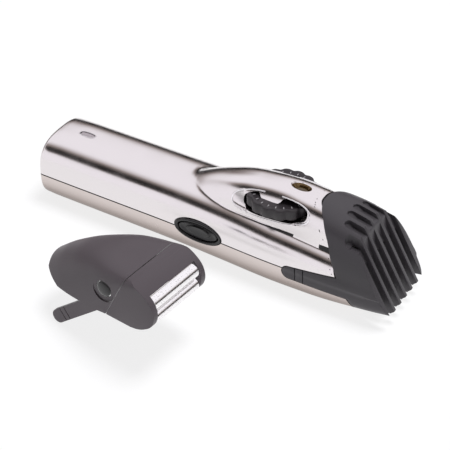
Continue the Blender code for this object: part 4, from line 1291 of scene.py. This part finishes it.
# %% Surrounding light
world = bpy.data.worlds.new("studio_surround")
bpy.context.scene.world = world
world.use_nodes = True
tree = world.node_tree
backdrop = tree.nodes["Background"]
place = add_node(tree, "ShaderNodeTexCoord")
parts = add_node(tree, "ShaderNodeSeparateXYZ", {0: place.outputs["Generated"]})
height = parts.outputs["Z"]
near = add_node(tree, "ShaderNodeMapRange", {"Value": parts.outputs["Y"], "From Min": 0.05,
                                             "From Max": -0.35, "To Min": 0.0, "To Max": 1.0})
above = add_node(tree, "ShaderNodeMapRange", {"Value": height, "From Min": 0.74,
                                              "From Max": 0.99, "To Min": 0.0, "To Max": 1.0},
                 interpolation_type="SMOOTHSTEP")
below = add_node(tree, "ShaderNodeMapRange", {"Value": height, "From Min": 0.58,
                                              "From Max": 0.48, "To Min": 0.0, "To Max": 1.0},
                 interpolation_type="SMOOTHSTEP")
card = add_node(tree, "ShaderNodeMath", {0: above.outputs["Result"],
                                         1: below.outputs["Result"]}, operation="MAXIMUM")
far_wall = add_node(tree, "ShaderNodeMapRange", {"Value": height, "From Min": 0.16,
                                                 "From Max": 0.52, "To Min": 0.0,
                                                 "To Max": 1.0},
                    interpolation_type="SMOOTHSTEP")
level = add_node(tree, "ShaderNodeMix", {0: near.outputs["Result"],
                                         2: far_wall.outputs["Result"],
                                         3: card.outputs[0]}, data_type="FLOAT")
ramp = add_node(tree, "ShaderNodeValToRGB", {"Fac": level.outputs[0]})
ramp.color_ramp.elements[0].color = linear("#100c0a")
ramp.color_ramp.elements[1].color = (1.04, 1.02, 1.06, 1.0)
middle = ramp.color_ramp.elements.new(0.5)
middle.color = (0.34, 0.285, 0.26, 1.0)
seen = add_node(tree, "ShaderNodeLightPath")
white = add_node(tree, "ShaderNodeMix", {"Factor": seen.outputs["Is Camera Ray"],
                                         6: ramp.outputs["Color"]}, data_type="RGBA")
white.inputs[7].default_value = (0.98, 0.98, 0.985, 1.0)
tree.links.new(white.outputs[2], backdrop.inputs["Color"])
dim = add_node(tree, "ShaderNodeMapRange", {"Value": seen.outputs["Is Diffuse Ray"],
                                            "From Min": 0.0, "From Max": 1.0,
                                            "To Min": 1.0, "To Max": 0.18})
tree.links.new(dim.outputs["Result"], backdrop.inputs["Strength"])


# %% Softbox and camera
def softbox(name, place, aim, size, power):
    data = bpy.data.lights.new(name, "AREA")
    data.shape, data.size, data.energy = "DISK", size, power
    made = bpy.data.objects.new(name, data)
    WORK.objects.link(made)
    made.location = place
    made.visible_glossy = False
    made.rotation_euler = (Vector(aim) - Vector(place)).to_track_quat("-Z", "Y").to_euler()
    return made


softbox("ceiling_softbox", (0.12, 0.16, 0.95), (0, -0.02, 0), 0.42, 7.0)
TARGET = Vector((0.00081, 0.0, 0.00752))
azimuth, elevation, distance = math.radians(30.96), math.radians(38.03), 0.61195
back = Vector((math.sin(azimuth) * math.cos(elevation), -math.cos(azimuth) * math.cos(elevation),
               math.sin(elevation)))
lens = bpy.data.cameras.new("studio_camera")
lens.lens, lens.sensor_width = 120.0, 36.0
camera = bpy.data.objects.new("studio_camera", lens)
WORK.objects.link(camera)
camera.location = TARGET + back * distance
camera.rotation_euler = back.to_track_quat("Z", "Y").to_euler()
bpy.context.scene.camera = camera
bpy.context.scene.view_settings.view_transform = "Standard"
print("camera at", [round(v, 4) for v in camera.location])
